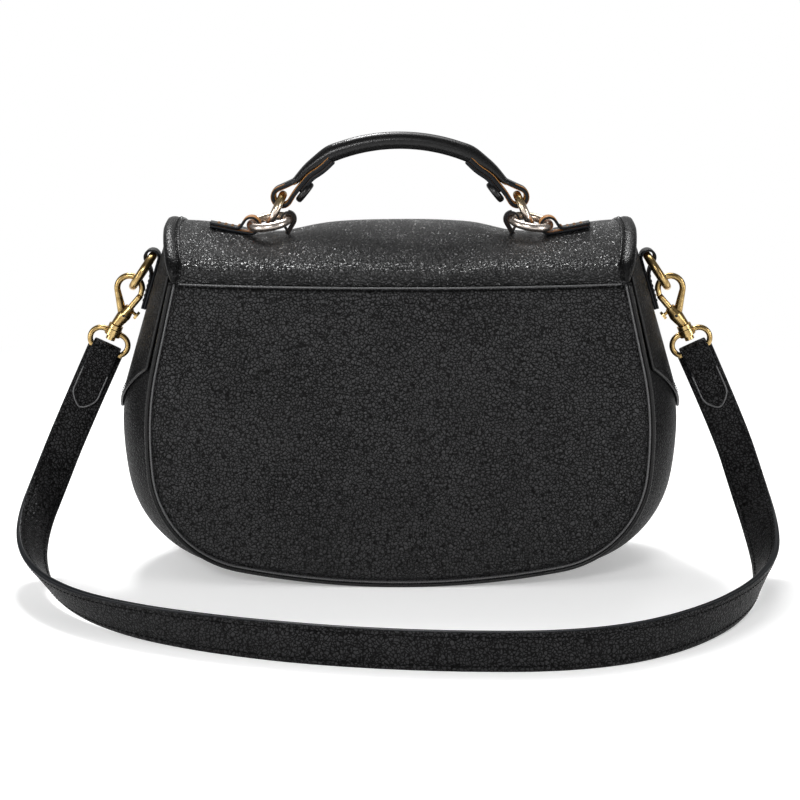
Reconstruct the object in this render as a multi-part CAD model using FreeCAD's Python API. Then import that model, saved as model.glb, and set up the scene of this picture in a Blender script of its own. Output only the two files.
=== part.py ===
"""Saddle handbag: leather body, hinged flap, swinging handle and a clip-on shoulder strap.

Millimetres, +Z up. The back of the bag faces -Y and +X is to the right as seen from there.
The origin is on the floor, under the middle of the body.
"""
import FreeCAD, Part
import math
import os

from FreeCAD import Vector

os.makedirs("parts", exist_ok=True)

# Leather, play and cuts
leather = 1.4
lining_cloth = 0.8
sewn_gap = 0.1
soft_gap = 0.4
metal_gap = 0.25
overrun = 12.0

# Body: the seam outline, shared by the panels, the piping and the ends of the gusset
half_depth = 44.0
widest_height = 72.0
seam_half_width = 117.0
seam_side_radius = 150.0
seam_side_lean = 13.0
seam_low_radius = 205.0
seam_corner_radius = 50.0
seam_bottom_radius = 390.0
piping_radius = 1.6
piping_lift = 0.1
pocket_top = 143.0
mouth_drop = 4.0

# Body: the outline of the gusset half way between the seams, where it bulges most
bulge_half_width = 133.7
bulge_side_radius = 62.0
bulge_side_lean = 16.8
bulge_low_radius = 150.0
bulge_corner_radius = 52.0
bulge_bottom_radius = 900.0
bulge_below_floor = 1.2
bulge_power_share = 2.2
gusset_wall = 2.2
bulge_station_shares = (-1.0, -0.55, 0.0, 0.55, 1.0)

# Gusset patch: an overlay with a pointed lower end under each side ring
patch_leather = 1.2
patch_tip_height = 78.0
patch_shoulder_height = 104.0
patch_edge_gap = 4.4

# Flap: an arch over the top and a rounded front
flap_leather = 2.0
flap_ridge = 167.7
flap_sag = 6.1
flap_sag_span = 62.0
flap_corner_radius = 14.0
flap_edge_half_width = 110.5
flap_edge_height = 166.0
flap_front_half_width = 107.0
flap_front_widest = 112.0
flap_front_bottom = 52.0
flap_front_side_radius = 150.0
flap_front_lean = 7.0
flap_front_corner_radius = 42.0
flap_front_bottom_radius = 300.0
flap_stations = 9
binding_width = 7.0
binding_leather = 0.9
flap_lining_inset = 2.5

# Hidden magnetic closure
magnet_radius = 7.0
magnet_thickness = 1.0
magnet_height = 74.0
plate_thickness = 1.0

# Rings
ring_wire = 1.95
side_ring_radius = 8.9
handle_ring_radius = 8.1
base_ring_radius = 9.0

# Handle rings and the base rings that they hang in; the link is where the two wires cross
link_x = -60.3
link_rise = 8.4
link_play = 1.0
handle_ring_lean = 25.0
base_ring_offset = 1.5
base_ring_tip = 9.0
base_ring_roll = 9.0

# Leather tabs that hold the base rings on the flap
tab_leather = 1.3
top_tab_width = 7.0
top_tab_length = 19.4
top_tab_pinch = 5.6
keeper_leather = 0.9
keeper_width = 4.0

# Handle: a rolled grip, and a neck at each end that flattens into a strap
grip_radius = 4.1
grip_core_radius = 2.6
grip_rise = 36.0
grip_arch_radius = 87.0
grip_half_span = 33.0
handle_strap = 2.4
handle_strap_width = 8.6
# Thickness and width of the neck, from the grip down, and its places as shares of the way from ring to grip
neck_sections = [(6.6, 8.6), (4.9, 8.9), (3.5, 9.1), (2.7, 9.1)]
neck_place_shares = [(0.7503, 0.8257), (0.5106, 0.6284), (0.2753, 0.3583), (0.1953, 0.3116)]
neck_points = 16
strap_root_shares = (0.2753, 0.3583)
strap_bow_shares = (0.0932, 0.2545)
tail_low_shares = (0.2397, 0.0364)
tail_bend_shares = (0.5594, 0.4985)
tail_end_shares = (0.8258, 0.6543)
stud_radius = 5.6
stud_cap = 3.2
stud_round = 1.3
stud_post_radius = 1.5
stud_post = 0.6
stud_place_share = 0.31

# Side rings and their tabs
side_ring_top_height = 149.6
side_ring_lean = 33.8
side_tab_leather = 1.1
side_tab_width = 8.0
side_tab_end_height = 125.5
side_tab_pinch = 7.5

# Snap hooks, drawn in the plane of the left one
hook_wire = 1.5
hook_flank = 2.2
hook_radius = 5.95
hook_sink_x = 1.7
hook_sink = 1.0
hook_tip_angle = -12.0
hook_tip_run = 2.2
hook_shank_angle = 186.0
bolt_radius = 1.5
bolt_mouth_x = 0.1
bolt_mouth_drop = 9.5
barrel_radius = 3.4
barrel_mouth_radius = 2.4
barrel_heel_radius = 2.6
barrel_belly_share = 0.45
barrel_length = 10.2
bolt_travel = 4.5
bolt_tail = 2.5
bolt_play = 0.08
knob_post_radius = 0.8
knob_radius = 2.1
knob_cap = 1.3
knob_standoff = 0.6
spring_wall = 0.5
swivel_lean = 25.0
collar_drop = 0.8
collar_radius = 3.5
collar_length = 2.0
stem_radius = 1.5
rivet_radius = 2.3
rivet_length = 2.0

# Swivel eyes
eye_wire = 1.35
eye_half_width = 9.4
eye_height = 9.3
eye_bar_half = 7.3
eye_waist_share = 0.45
boss_radius = 3.9
boss_length = 3.2

# Shoulder strap, standing on its edge where it lies on the floor
strap_width = 17.5
strap_thickness = 3.0
strap_end_leather = 1.8
strap_end_width = 13.6
strap_tail_length = 32.0
strap_tail_point = 5.0
strap_fold_run = 10.0
strap_start = 7.0
strap_arc_step = 12.0
strap_bend_share = 0.45
corner_share = 0.45

# The route of the strap's middle line, and the way its outer edge faces at each point
strap_route = [
    (-170.4, -8.5, 40.5),
    (-175.0, -25.5, 27.0),
    (-173.0, -49.0, 18.0),
    (-163.0, -75.5, 12.2),
    (-144.0, -100.5, 9.7),
    (-117.0, -121.5, 9.0),
    (-84.5, -137.5, 8.9),
    (-48.0, -149.8, 8.85),
    (-10.0, -157.8, 8.85),
    (28.0, -161.5, 8.85),
    (65.0, -161.3, 8.85),
    (97.0, -152.5, 8.85),
    (124.0, -134.0, 8.9),
    (147.0, -108.5, 9.3),
    (163.5, -81.0, 11.4),
    (171.3, -53.5, 15.7),
    (172.5, -27.5, 24.5),
    (168.3, -8.0, 41.0),
]
strap_edge_way = [
    (-0.91, 0.0, 0.415),
    (-0.91, -0.02, 0.41),
    (-0.87, -0.13, 0.48),
    (-0.77, -0.28, 0.58),
    (-0.64, -0.36, 0.67),
    (-0.48, -0.38, 0.79),
    (-0.32, -0.35, 0.88),
    (-0.18, -0.22, 0.95),
    (-0.08, -0.1, 0.99),
    (0.0, 0.0, 1.0),
    (0.0, 0.0, 1.0),
    (0.0, 0.0, 1.0),
    (0.0, 0.0, 1.0),
    (0.0, 0.0, 1.0),
    (0.02, -0.02, 1.0),
    (0.1, -0.1, 0.99),
    (0.26, -0.18, 0.95),
    (0.55, -0.2, 0.81),
    (0.77, -0.14, 0.62),
    (0.87, -0.06, 0.48),
    (0.91, -0.02, 0.41),
    (0.91, 0.0, 0.415),
]
strap_first_run = 45.0
strap_drop_points = 6

# Places that follow from the sizes above
wire_gap = 2 * ring_wire + link_play
piping_height = piping_radius + piping_lift
panel_inset = piping_radius + sewn_gap
piping_plane = half_depth + sewn_gap + piping_radius
panel_face = half_depth + leather
pocket_face = panel_face + sewn_gap + leather
flap_back = pocket_face
flap_front = piping_plane + piping_radius + soft_gap + lining_cloth + sewn_gap + flap_leather
flap_seam = pocket_top + sewn_gap
under_flap = flap_leather + sewn_gap + lining_cloth + soft_gap
X = Vector(1, 0, 0)
Y = Vector(0, 1, 0)
Z = Vector(0, 0, 1)


def save(name, shape):
    """Write one named piece."""
    shape.exportStep("parts/" + name + ".step")


def save_pair(name, left):
    """Write a left piece and its mirror image on the right."""
    save(name + "_left", left)
    save(name + "_right", left.mirror(Vector(), X))


def polar(angle):
    """Unit vector in the XZ plane, the angle in degrees from +X towards +Z."""
    return Vector(math.cos(math.radians(angle)), 0, math.sin(math.radians(angle)))


def at(x, z, y=0.0):
    """Point written as across, up and deep."""
    return Vector(x, y, z)


def unit(v):
    """The same direction with length 1."""
    return v.normalize() if v.Length else v


def rod(start, end, radius):
    """Round bar between two points."""
    return Part.makeCylinder(radius, (end - start).Length, start, end - start)


def arc(a, b, c):
    """Circular edge through three points."""
    return Part.Arc(a, b, c).toShape()


def line(a, b):
    """Straight edge."""
    return Part.makeLine(a, b)


def circle_meet(c1, r1, c2, r2):
    """Lower right meeting point of two circles in an XZ plane."""
    gap = c2 - c1
    d = gap.Length
    along = (d * d + r1 * r1 - r2 * r2) / (2 * d)
    height = math.sqrt(r1 * r1 - along * along)
    e = gap / d
    side = Vector(-e.z, 0, e.x)
    ends = [c1 + e * along + side * height, c1 + e * along - side * height]
    return max(ends, key=lambda p: p.x)


def between(low, high, share):
    """Value part of the way from one to the other."""
    return low + (high - low) * share


def mirrored(points):
    """The same points on the other side, in reverse order."""
    return [at(-p.x, p.z, p.y) for p in reversed(points)]


def rounded_outline(half_width, widest, bottom, side_r, lean, low_r, corner_r, bottom_r, inset, top):
    """Open D-shaped run of tangent arcs in the XZ plane, from the right top round to the left top."""
    side_c = at(half_width - side_r, widest)
    low_c = at(half_width - low_r, widest)
    bottom_c = at(0, bottom + bottom_r)
    corner_c = circle_meet(low_c, low_r - corner_r, bottom_c, bottom_r - corner_r)
    low_way = unit(corner_c - low_c)
    bottom_way = unit(corner_c - bottom_c)
    shoulder = side_c + polar(lean) * (side_r - inset)
    crest = shoulder + polar(lean + 90) * ((top - shoulder.z) / math.cos(math.radians(lean)))
    waist = at(half_width - inset, widest)
    hip = low_c + low_way * (low_r - inset)
    foot = bottom_c + bottom_way * (bottom_r - inset)
    turns = [
        (shoulder, side_c + polar(lean / 2) * (side_r - inset), waist),
        (waist, low_c + unit(X + low_way) * (low_r - inset), hip),
        (hip, corner_c + unit(low_way + bottom_way) * (corner_r - inset), foot),
    ]
    edges = [line(crest, shoulder)]
    edges += [arc(*turn) for turn in turns]
    edges += [arc(foot, at(0, bottom + inset), at(-foot.x, foot.z))]
    edges += [arc(*mirrored(turn)) for turn in reversed(turns)]
    edges += [line(at(-shoulder.x, shoulder.z), at(-crest.x, crest.z))]
    return edges


def seam_outline(inset, top):
    """Outline of the panels; the piping follows it with no inset."""
    return rounded_outline(seam_half_width, widest_height, piping_height, seam_side_radius, seam_side_lean,
                           seam_low_radius, seam_corner_radius, seam_bottom_radius, inset, top)


def body_section(y, inset, top):
    """Closed outline of the gusset at one depth, fuller towards the middle."""
    share = 1 - abs(y / half_depth) ** bulge_power_share
    edges = rounded_outline(
        between(seam_half_width - panel_inset, bulge_half_width, share), widest_height,
        between(piping_height + panel_inset, -bulge_below_floor, share),
        between(seam_side_radius - panel_inset, bulge_side_radius, share),
        between(seam_side_lean, bulge_side_lean, share),
        between(seam_low_radius - panel_inset, bulge_low_radius, share),
        between(seam_corner_radius - panel_inset, bulge_corner_radius, share),
        between(seam_bottom_radius - panel_inset, bulge_bottom_radius, share), inset, top)
    wire = closed(edges)
    wire.translate(Y * y)
    return wire


def closed(edges):
    """Close an open run of edges with a straight one."""
    first = edges[0].Vertexes[0].Point
    last = edges[-1].Vertexes[-1].Point
    return Part.Wire(Part.__sortEdges__(edges + [line(last, first)]))


def body_form(inset, half, top):
    """Solid inside of the bulging body, from the back seam to the front one."""
    return Part.makeLoft([body_section(s * half, inset, top) for s in bulge_station_shares], True, False)


def plate(wire, start, thickness):
    """Flat piece in an XZ plane, from one depth to another."""
    face = Part.Face(wire)
    face.translate(Y * start)
    return face.extrude(Y * thickness)


def ridge(x):
    """Height of the flap's top: it sags where the handle pulls on the base rings."""
    return flap_ridge - flap_sag * (1 - math.cos(math.pi * x / flap_sag_span)) / 2


def arch_edges(x, offset):
    """Three tangent arcs of the flap's top at one station, moved out by an offset."""
    half = (flap_back + flap_front) / 2
    middle = (flap_front - flap_back) / 2
    rise = ridge(x) - flap_seam
    r = flap_corner_radius
    top_r = (half * half + rise * rise - 2 * half * r) / (2 * (rise - r))
    top_c = Vector(x, middle, ridge(x) - top_r)
    corner_c = Vector(x, middle + half - r, flap_seam)
    way = unit(corner_c - top_c)
    join = top_c + way * (top_r + offset)
    knee = corner_c + unit(way + Y) * (r + offset)
    end = corner_c + Y * (r + offset)
    flip = lambda p: Vector(p.x, 2 * middle - p.y, p.z)
    return [
        (flip(end), flip(knee), flip(join)),
        (flip(join), top_c + Z * (top_r + offset), join),
        (join, knee, end),
    ]


def flap_top(x, y):
    """Height of the flap's outer face above a place near the top of the arch."""
    low, crown, high = arch_edges(x, 0)[1]
    curve = arc(low, crown, high).Curve
    return curve.Center.z + math.sqrt(curve.Radius ** 2 - (y - curve.Center.y) ** 2)


def flap_station_places(span):
    """Places across the bag where the flap's arch is drawn."""
    return [between(-span, span, i / (flap_stations - 1)) for i in range(flap_stations)]


def flap_band(inner, outer):
    """Arched sheet between two offsets from the flap's outer face, with a straight drop in front."""
    wires = []
    low = flap_front_bottom - overrun
    for x in flap_station_places(2 * flap_sag_span):
        top = arch_edges(x, outer)
        under = arch_edges(x, inner)
        front_out = Vector(x, top[-1][2].y, low)
        front_in = Vector(x, under[-1][2].y, low)
        edges = [arc(*t) for t in top]
        edges += [line(top[-1][2], front_out), line(front_out, front_in), line(front_in, under[-1][2])]
        edges += [arc(*reversed(t)) for t in reversed(under)]
        edges += [line(under[0][0], top[0][0])]
        wires.append(Part.Wire(edges))
    return Part.makeLoft(wires, True, False)


def below_flap():
    """Room under the flap that the gusset may fill."""
    wires = []
    deep = half_depth + overrun
    for x in flap_station_places(bulge_half_width + overrun):
        arcs = arch_edges(x, -under_flap)
        first = arcs[0][0]
        last = arcs[-1][2]
        corners = [last, Vector(x, deep, last.z), Vector(x, deep, -overrun), Vector(x, -deep, -overrun),
                   Vector(x, -deep, first.z), first]
        edges = [arc(*t) for t in arcs]
        edges += [line(a, b) for a, b in zip(corners, corners[1:])]
        wires.append(Part.Wire(edges))
    return Part.makeLoft(wires, True, False)


def flap_outline(inset):
    """Solid that cuts the flap to its shape, seen from the back: rounded front, flared top."""
    edges = rounded_outline(flap_front_half_width, flap_front_widest, flap_front_bottom,
                            flap_front_side_radius, flap_front_lean, flap_front_side_radius,
                            flap_front_corner_radius, flap_front_bottom_radius, inset, flap_seam)
    right = edges[0].Vertexes[0].Point
    half = flap_edge_half_width - inset
    roof = flap_ridge + overrun
    corners = [at(-right.x, right.z), at(-half, flap_edge_height), at(-half, roof), at(half, roof),
               at(half, flap_edge_height), right]
    edges += [line(a, b) for a, b in zip(corners, corners[1:])]
    return plate(Part.Wire(Part.__sortEdges__(edges)), -2 * half_depth, 4 * half_depth)


def ring(centre, normal, radius, wire=ring_wire):
    """Round wire ring."""
    return Part.makeTorus(radius, wire, centre, normal)


def tangent(point, centre, radius, turn):
    """Where a line from a point touches a circle in its XZ plane; turn picks the side."""
    gap = centre - point
    angle = math.degrees(math.atan2(gap.z, gap.x))
    swing = math.degrees(math.asin(radius / gap.Length))
    reach = math.sqrt(gap.Length ** 2 - radius ** 2)
    return point + polar(angle + turn * swing) * reach


def ring_seat(point, way, radius, width, tilt=0.0):
    """Middle and extra radius of a loop that holds a strip's width of a round ring."""
    reach = math.sqrt(radius ** 2 - (width / 2) ** 2)
    spread = (radius - reach + ring_wire * (radius / reach - 1)) / 2
    return point - way * spread, spread + math.sin(math.radians(tilt)) * width / 2


def soft_line(points):
    """Edges of a line through points, with a tangent arc at each corner."""
    edges = []
    here = points[0]
    for a, b, c in zip(points, points[1:], points[2:]):
        before = unit(b - a)
        after = unit(c - b)
        turn = before.getAngle(after)
        cut = corner_share * min((b - a).Length, (c - b).Length)
        bulge = (1 / math.cos(turn / 2) - 1) / math.tan(turn / 2)
        crown = b + unit(after - before) * (cut * bulge)
        edges.append(line(here, b - before * cut))
        here = b + after * cut
        edges.append(arc(b - before * cut, crown, here))
    return edges + [line(here, points[-1])]


def looped_strip(there, centre, radius, back, turn, thickness, width):
    """Leather strip that runs to a wire, turns round it and comes back."""
    first = tangent(there[-1], centre, radius, turn)
    last = tangent(back[0], centre, radius, -turn)
    far = centre + unit(centre * 2 - first - last) * radius
    path = Part.Wire(soft_line(there + [first]) + [arc(first, far, last)] + soft_line([last] + back))
    start = there[0]
    run = path.Edges[0].tangentAt(path.Edges[0].FirstParameter)
    across = Vector(-run.z, 0, run.x) * (thickness / 2)
    deep = Y * (width / 2)
    corners = [start - across - deep, start + across - deep, start + across + deep, start - across + deep]
    profile = Part.makePolygon(corners + corners[:1])
    return path.makePipeShell([profile], True, False)


def make_body():
    """Panels, piping, gusset with its patches, and lining."""
    outline = closed(seam_outline(panel_inset, pocket_top))
    save("back_panel", plate(outline, -panel_face, leather))
    save("back_pocket_panel", plate(outline, -pocket_face, leather))
    front = closed(seam_outline(panel_inset, pocket_top - mouth_drop))
    save("front_panel", plate(front, half_depth, leather))
    path = Part.Wire(Part.__sortEdges__(seam_outline(0, pocket_top - binding_leather)))
    start = path.Edges[0]
    profile = Part.Wire(Part.makeCircle(piping_radius, start.valueAt(start.FirstParameter),
                                        start.tangentAt(start.FirstParameter)))
    piping = path.makePipeShell([profile], True, False)
    for name, side in (("back_piping", -1), ("front_piping", 1)):
        cord = piping.copy()
        cord.translate(Y * side * piping_plane)
        save(name, cord)
    roof = flap_ridge + overrun
    room = below_flap()
    wide = 2 * bulge_half_width
    ground = Part.makeBox(2 * wide, 4 * half_depth, overrun, Vector(-wide, -2 * half_depth, -overrun))
    outer = body_form(0, half_depth, roof)
    inner = body_form(gusset_wall, half_depth, roof)
    save("gusset", outer.cut(inner).common(room).cut(ground))
    make_patches(room)
    make_lining()


def make_patches(room):
    """Overlay on each end of the gusset, pointed below."""
    skin = body_form(-patch_leather - sewn_gap, half_depth, flap_ridge + overrun)
    seat = body_form(-sewn_gap, half_depth, flap_ridge + overrun)
    edge = half_depth - patch_edge_gap - piping_radius
    corners = [Vector(0, 0, patch_tip_height), Vector(0, edge, patch_shoulder_height),
               Vector(0, edge, flap_ridge), Vector(0, -edge, flap_ridge),
               Vector(0, -edge, patch_shoulder_height)]
    shape = Part.Face(Part.makePolygon(corners + corners[:1])).extrude(X * (-2 * bulge_half_width))
    save_pair("gusset_patch", skin.cut(seat).common(shape).common(room))


def make_lining():
    """Loose bag inside the body, open at the mouth, with room for the closure plate in front."""
    pad = gusset_wall + sewn_gap
    top = flap_ridge + overrun
    outer = body_form(pad, half_depth - sewn_gap, top)
    inner = body_form(pad + lining_cloth, half_depth - sewn_gap, top)
    wide = 2 * bulge_half_width
    mouth = pocket_top - 2 * mouth_drop
    back = -half_depth + sewn_gap
    front = half_depth - plate_thickness - 2 * sewn_gap
    keep = Part.makeBox(2 * wide, front - back, mouth + overrun, Vector(-wide, back, -overrun))
    hollow = Part.makeBox(2 * wide, front - back - 2 * lining_cloth, top + overrun,
                          Vector(-wide, back + lining_cloth, -overrun))
    save("lining", outer.common(keep).cut(inner.common(hollow)))
    place = Vector(0, half_depth - sewn_gap, magnet_height)
    save("closure_plate", Part.makeCylinder(magnet_radius, plate_thickness, place, -Y))


def make_flap():
    """Flap leather with the magnet set into it, its lining and its bound edge."""
    sheet = flap_band(-flap_leather, 0).common(flap_outline(0))
    inside = Vector(0, flap_front - flap_leather, magnet_height)
    recess = Part.makeCylinder(magnet_radius + sewn_gap, magnet_thickness + sewn_gap, inside, Y)
    save("flap_leather", sheet.cut(recess))
    save("flap_magnet", Part.makeCylinder(magnet_radius, magnet_thickness, inside, Y))
    depth = flap_leather + sewn_gap
    lining = flap_band(-depth - lining_cloth, -depth).common(flap_outline(flap_lining_inset))
    save("flap_lining", lining)
    frame = flap_outline(-binding_leather).cut(flap_outline(binding_width))
    wrap = flap_band(-flap_leather / 2, binding_leather).common(frame)
    save("flap_binding", wrap.cut(flap_band(-2 * flap_leather, sewn_gap).common(flap_outline(-sewn_gap))))


def ring_lean(angle):
    """Way from the bottom of a leaning ring to its top."""
    return polar(90 - angle)


def link_point():
    """Where the left handle ring hangs in its base ring."""
    return at(link_x, ridge(link_x) + link_rise)


def make_handle_rings():
    """Left base ring with its tab and keeper, and the handle ring that passes through it."""
    way = ring_lean(handle_ring_lean)
    link = link_point()
    bottom = link - way * wire_gap
    flat = Vector(way.z, 0, -way.x)
    save_pair("handle_ring", ring(bottom + way * handle_ring_radius, flat, handle_ring_radius))
    inward = polar(base_ring_roll)
    tip = math.radians(base_ring_tip)
    deep = Vector(0, math.cos(tip), math.sin(tip))
    normal = unit(inward.cross(deep))
    back = normal.cross(inward)
    share = base_ring_offset / base_ring_radius
    centre = link - (inward * share + back * math.sqrt(1 - share * share)) * base_ring_radius
    save_pair("base_ring", ring(centre, normal, base_ring_radius))
    make_top_tab(centre - inward * base_ring_radius, -inward)
    make_keeper(centre + inward * base_ring_radius, inward)
    return bottom + way * 2 * handle_ring_radius


def make_top_tab(end, way):
    """Stitched tab that lies on the flap, folded round the outer end of the base ring."""
    wire, spread = ring_seat(end, way, base_ring_radius, top_tab_width, base_ring_tip)
    turn_radius = ring_wire + metal_gap + spread + tab_leather / 2
    step = Z * (tab_leather + sewn_gap)
    near_edge = wire.y + top_tab_width / 2
    lows = []
    for x in (wire.x - top_tab_length, wire.x - top_tab_pinch):
        lows.append(at(x, flap_top(x, near_edge) + sewn_gap + tab_leather / 2, wire.y))
    highs = [p + step for p in reversed(lows)]
    save_pair("top_tab", looped_strip(lows, wire, turn_radius, highs, -1, tab_leather, top_tab_width))


def make_keeper(end, way):
    """Leather loop that holds the inner end of the base ring down."""
    wire, spread = ring_seat(end, way, base_ring_radius, keeper_width, base_ring_tip)
    turn_radius = ring_wire + metal_gap + spread + keeper_leather / 2
    half_gap = (keeper_leather + sewn_gap) / 2
    floor = flap_top(wire.x + half_gap, wire.y + keeper_width / 2) + keeper_leather / 2
    inner = at(wire.x - half_gap, floor, wire.y)
    outer = at(wire.x + half_gap, floor, wire.y)
    keeper = looped_strip([inner], wire, turn_radius, [outer], -1, keeper_leather, keeper_width)
    save_pair("ring_keeper", keeper)


def grip_point(x):
    """Point of the grip's middle line."""
    crest = link_point().z + grip_rise
    return at(x, crest - grip_arch_radius + math.sqrt(grip_arch_radius ** 2 - x * x))


def oval(centre, way, thickness, width):
    """Oval section of the handle across its line."""
    up = Vector(-way.z, 0, way.x) * (thickness / 2)
    points = []
    for i in range(neck_points):
        turn = 2 * math.pi * i / neck_points
        points.append(centre + up * math.cos(turn) + Y * (width / 2) * math.sin(turn))
    curve = Part.BSplineCurve()
    curve.interpolate(points, PeriodicFlag=True)
    return Part.Wire(curve.toShape())


def make_handle(ring_top):
    """Rolled grip on its core, and the end straps with their studs."""
    ends = grip_point(-grip_half_span), grip_point(0), grip_point(grip_half_span)
    path = Part.Wire(arc(*ends))
    way = unit(path.Edges[0].tangentAt(path.Edges[0].FirstParameter))
    tube = lambda r: path.makePipeShell([Part.Wire(Part.makeCircle(r, ends[0], way))], True, False)
    save("handle_grip", tube(grip_radius).cut(tube(grip_core_radius + sewn_gap)))
    save("handle_core", tube(grip_core_radius))
    reach = ends[0] - ring_top
    place = lambda shares: ring_top + at(shares[0] * reach.x, shares[1] * reach.z)
    middles = [ends[0] - way * sewn_gap] + [place(shares) for shares in neck_place_shares]
    forms = [(2 * grip_radius, 2 * grip_radius)] + neck_sections
    ways = [way]
    for a, c in zip(middles, middles[2:] + [place(strap_bow_shares)]):
        ways.append(unit(a - c))
    sections = [oval(m, w, *form) for m, w, form in zip(middles, ways, forms)]
    neck = Part.makeLoft(sections, True, False)
    wire, spread = ring_seat(ring_top, ring_lean(handle_ring_lean), handle_ring_radius, handle_strap_width)
    turn_radius = ring_wire + metal_gap + spread + handle_strap / 2
    there = [place(strap_root_shares), place(strap_bow_shares)]
    low = place(tail_low_shares)
    bend = place(tail_bend_shares)
    back = [low, bend, place(tail_end_shares)]
    strap = looped_strip(there, wire, turn_radius, back, -1, handle_strap, handle_strap_width)
    save_pair("handle_end_strap", strap.fuse(neck))
    run = unit(bend - low)
    out = Vector(run.z, 0, -run.x)
    seat = low + (bend - low) * stud_place_share + out * (handle_strap / 2 + sewn_gap)
    post = rod(seat, seat + out * stud_post, stud_post_radius)
    cap = Part.makeCylinder(stud_radius, stud_cap, seat + out * stud_post, out)
    cap = cap.makeFillet(stud_round, [e for e in cap.Edges if e.Curve.TypeId == "Part::GeomCircle"])
    save_pair("handle_stud", post.fuse(cap).removeSplitter())


def side_skin(height):
    """Point on the left patch at the middle of the gusset's depth."""
    shoulder = at(bulge_half_width - bulge_side_radius, widest_height)
    shoulder += polar(bulge_side_lean) * bulge_side_radius
    slope = math.tan(math.radians(bulge_side_lean))
    return at((height - shoulder.z) * slope - shoulder.x - 2 * sewn_gap - patch_leather, height)


def make_side_ring():
    """Left side ring, leaning out as the strap pulls it, and its tab on the gusset."""
    way = ring_lean(side_ring_lean)
    out = polar(180 - bulge_side_lean)
    up = Vector(out.z, 0, -out.x)
    wire, spread = ring_seat(at(0, 0), way, side_ring_radius, side_tab_width)
    turn_radius = ring_wire + metal_gap + spread + side_tab_leather / 2
    lift = side_tab_leather / 2 + sewn_gap
    seat = side_skin(side_ring_top_height) + out * (turn_radius + lift)
    top = seat - wire
    save_pair("side_ring", ring(top - way * side_ring_radius, Vector(way.z, 0, -way.x), side_ring_radius))
    low = side_skin(side_tab_end_height) + out * lift
    step = out * (side_tab_leather + sewn_gap)
    pinch = seat - out * turn_radius - up * side_tab_pinch + step
    tab = looped_strip([low], seat, turn_radius, [pinch, low + step], -1, side_tab_leather, side_tab_width)
    save_pair("ring_tab", tab)
    return top - way * 2 * side_ring_radius


def make_snap_hook(ring_bottom):
    """Left bolt snap: hook, barrel and swivel stem in one casting, with a sprung bolt in the barrel."""
    eye = ring_bottom - at(hook_sink_x, hook_sink)
    bend_end = eye + polar(hook_tip_angle) * hook_radius
    tip = bend_end + polar(hook_tip_angle - 90) * hook_tip_run
    mouth = eye + at(bolt_mouth_x, -bolt_mouth_drop)
    way = unit(tip - mouth)
    aside = Vector(way.z, 0, -way.x)
    heel = mouth - way * barrel_length
    axis = polar(90 - swivel_lean)
    shank = eye + polar(hook_shank_angle) * hook_radius
    middle = (hook_tip_angle + hook_shank_angle) / 2
    bend = Part.Wire([line(tip, bend_end), arc(bend_end, eye + polar(middle) * hook_radius, shank)])
    loop = bend.makePipeShell([Part.Wire(Part.makeCircle(hook_wire, tip, bend_end - tip))], True, False)
    belly = mouth - way * (barrel_length * barrel_belly_share)
    root = belly - aside * (barrel_radius - hook_flank)
    leg = Part.makeCone(hook_wire, hook_flank, (root - shank).Length, shank, root - shank)
    knee = Part.makeSphere(hook_wire, shank)
    nose = Part.makeSphere(hook_wire, tip)
    heart = Part.makeSphere(hook_flank, root)
    front = Part.makeCone(barrel_radius, barrel_mouth_radius, (mouth - belly).Length, belly, way)
    rear = Part.makeCone(barrel_radius, barrel_heel_radius, (heel - belly).Length, belly, -way)
    foot = Part.makeSphere(barrel_heel_radius, heel)
    collar_end = heel - axis * (collar_drop + collar_length)
    collar = rod(heel - axis * collar_drop, collar_end, collar_radius)
    stem_end = collar_end - axis * (boss_length + 2 * metal_gap)
    stem = rod(collar_end + axis * collar_length, stem_end, stem_radius)
    rivet = rod(stem_end, stem_end - axis * rivet_length, rivet_radius)
    body = loop.multiFuse([leg, knee, nose, heart, front, rear, foot, collar, stem, rivet])
    depth = bolt_tail + bolt_travel + 2 * spring_wall
    bore = rod(mouth - way * depth, tip, bolt_radius + bolt_play)
    slot_run = bolt_travel + 2 * knob_post_radius + 2 * metal_gap
    slot_end = mouth - way * slot_run
    slot_half = knob_post_radius + metal_gap
    slot = Part.makeBox(barrel_radius * 2, 2 * slot_half, slot_run + overrun)
    slot.Placement = FreeCAD.Placement(slot_end - Y * slot_half, FreeCAD.Rotation(aside, Y, way, "XZY"))
    body = body.cut(bore).cut(slot)
    save_pair("snap_hook", body)
    make_bolt(mouth, tip, way, aside, depth)
    return make_swivel_eye(collar_end - axis * metal_gap, axis)


def make_bolt(mouth, tip, way, aside, depth):
    """Sliding bolt with its thumb knob, and the spring behind it."""
    end = tip - way * (hook_wire + metal_gap)
    shaft = rod(mouth - way * bolt_tail, end, bolt_radius)
    root = mouth - way * (knob_post_radius + metal_gap)
    post = rod(root, root + aside * (barrel_radius + knob_standoff), knob_post_radius)
    seat = root + aside * (barrel_radius + knob_standoff)
    knob = Part.makeCylinder(knob_radius, knob_cap, seat, aside)
    save_pair("snap_bolt", shaft.multiFuse([post, knob]))
    seat = mouth - way * (depth - sewn_gap)
    length = depth - bolt_tail - 2 * sewn_gap
    coil = Part.makeCylinder(bolt_radius, length, seat, way)
    save_pair("bolt_spring", coil.cut(Part.makeCylinder(bolt_radius - spring_wall, length, seat, way)))


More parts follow.
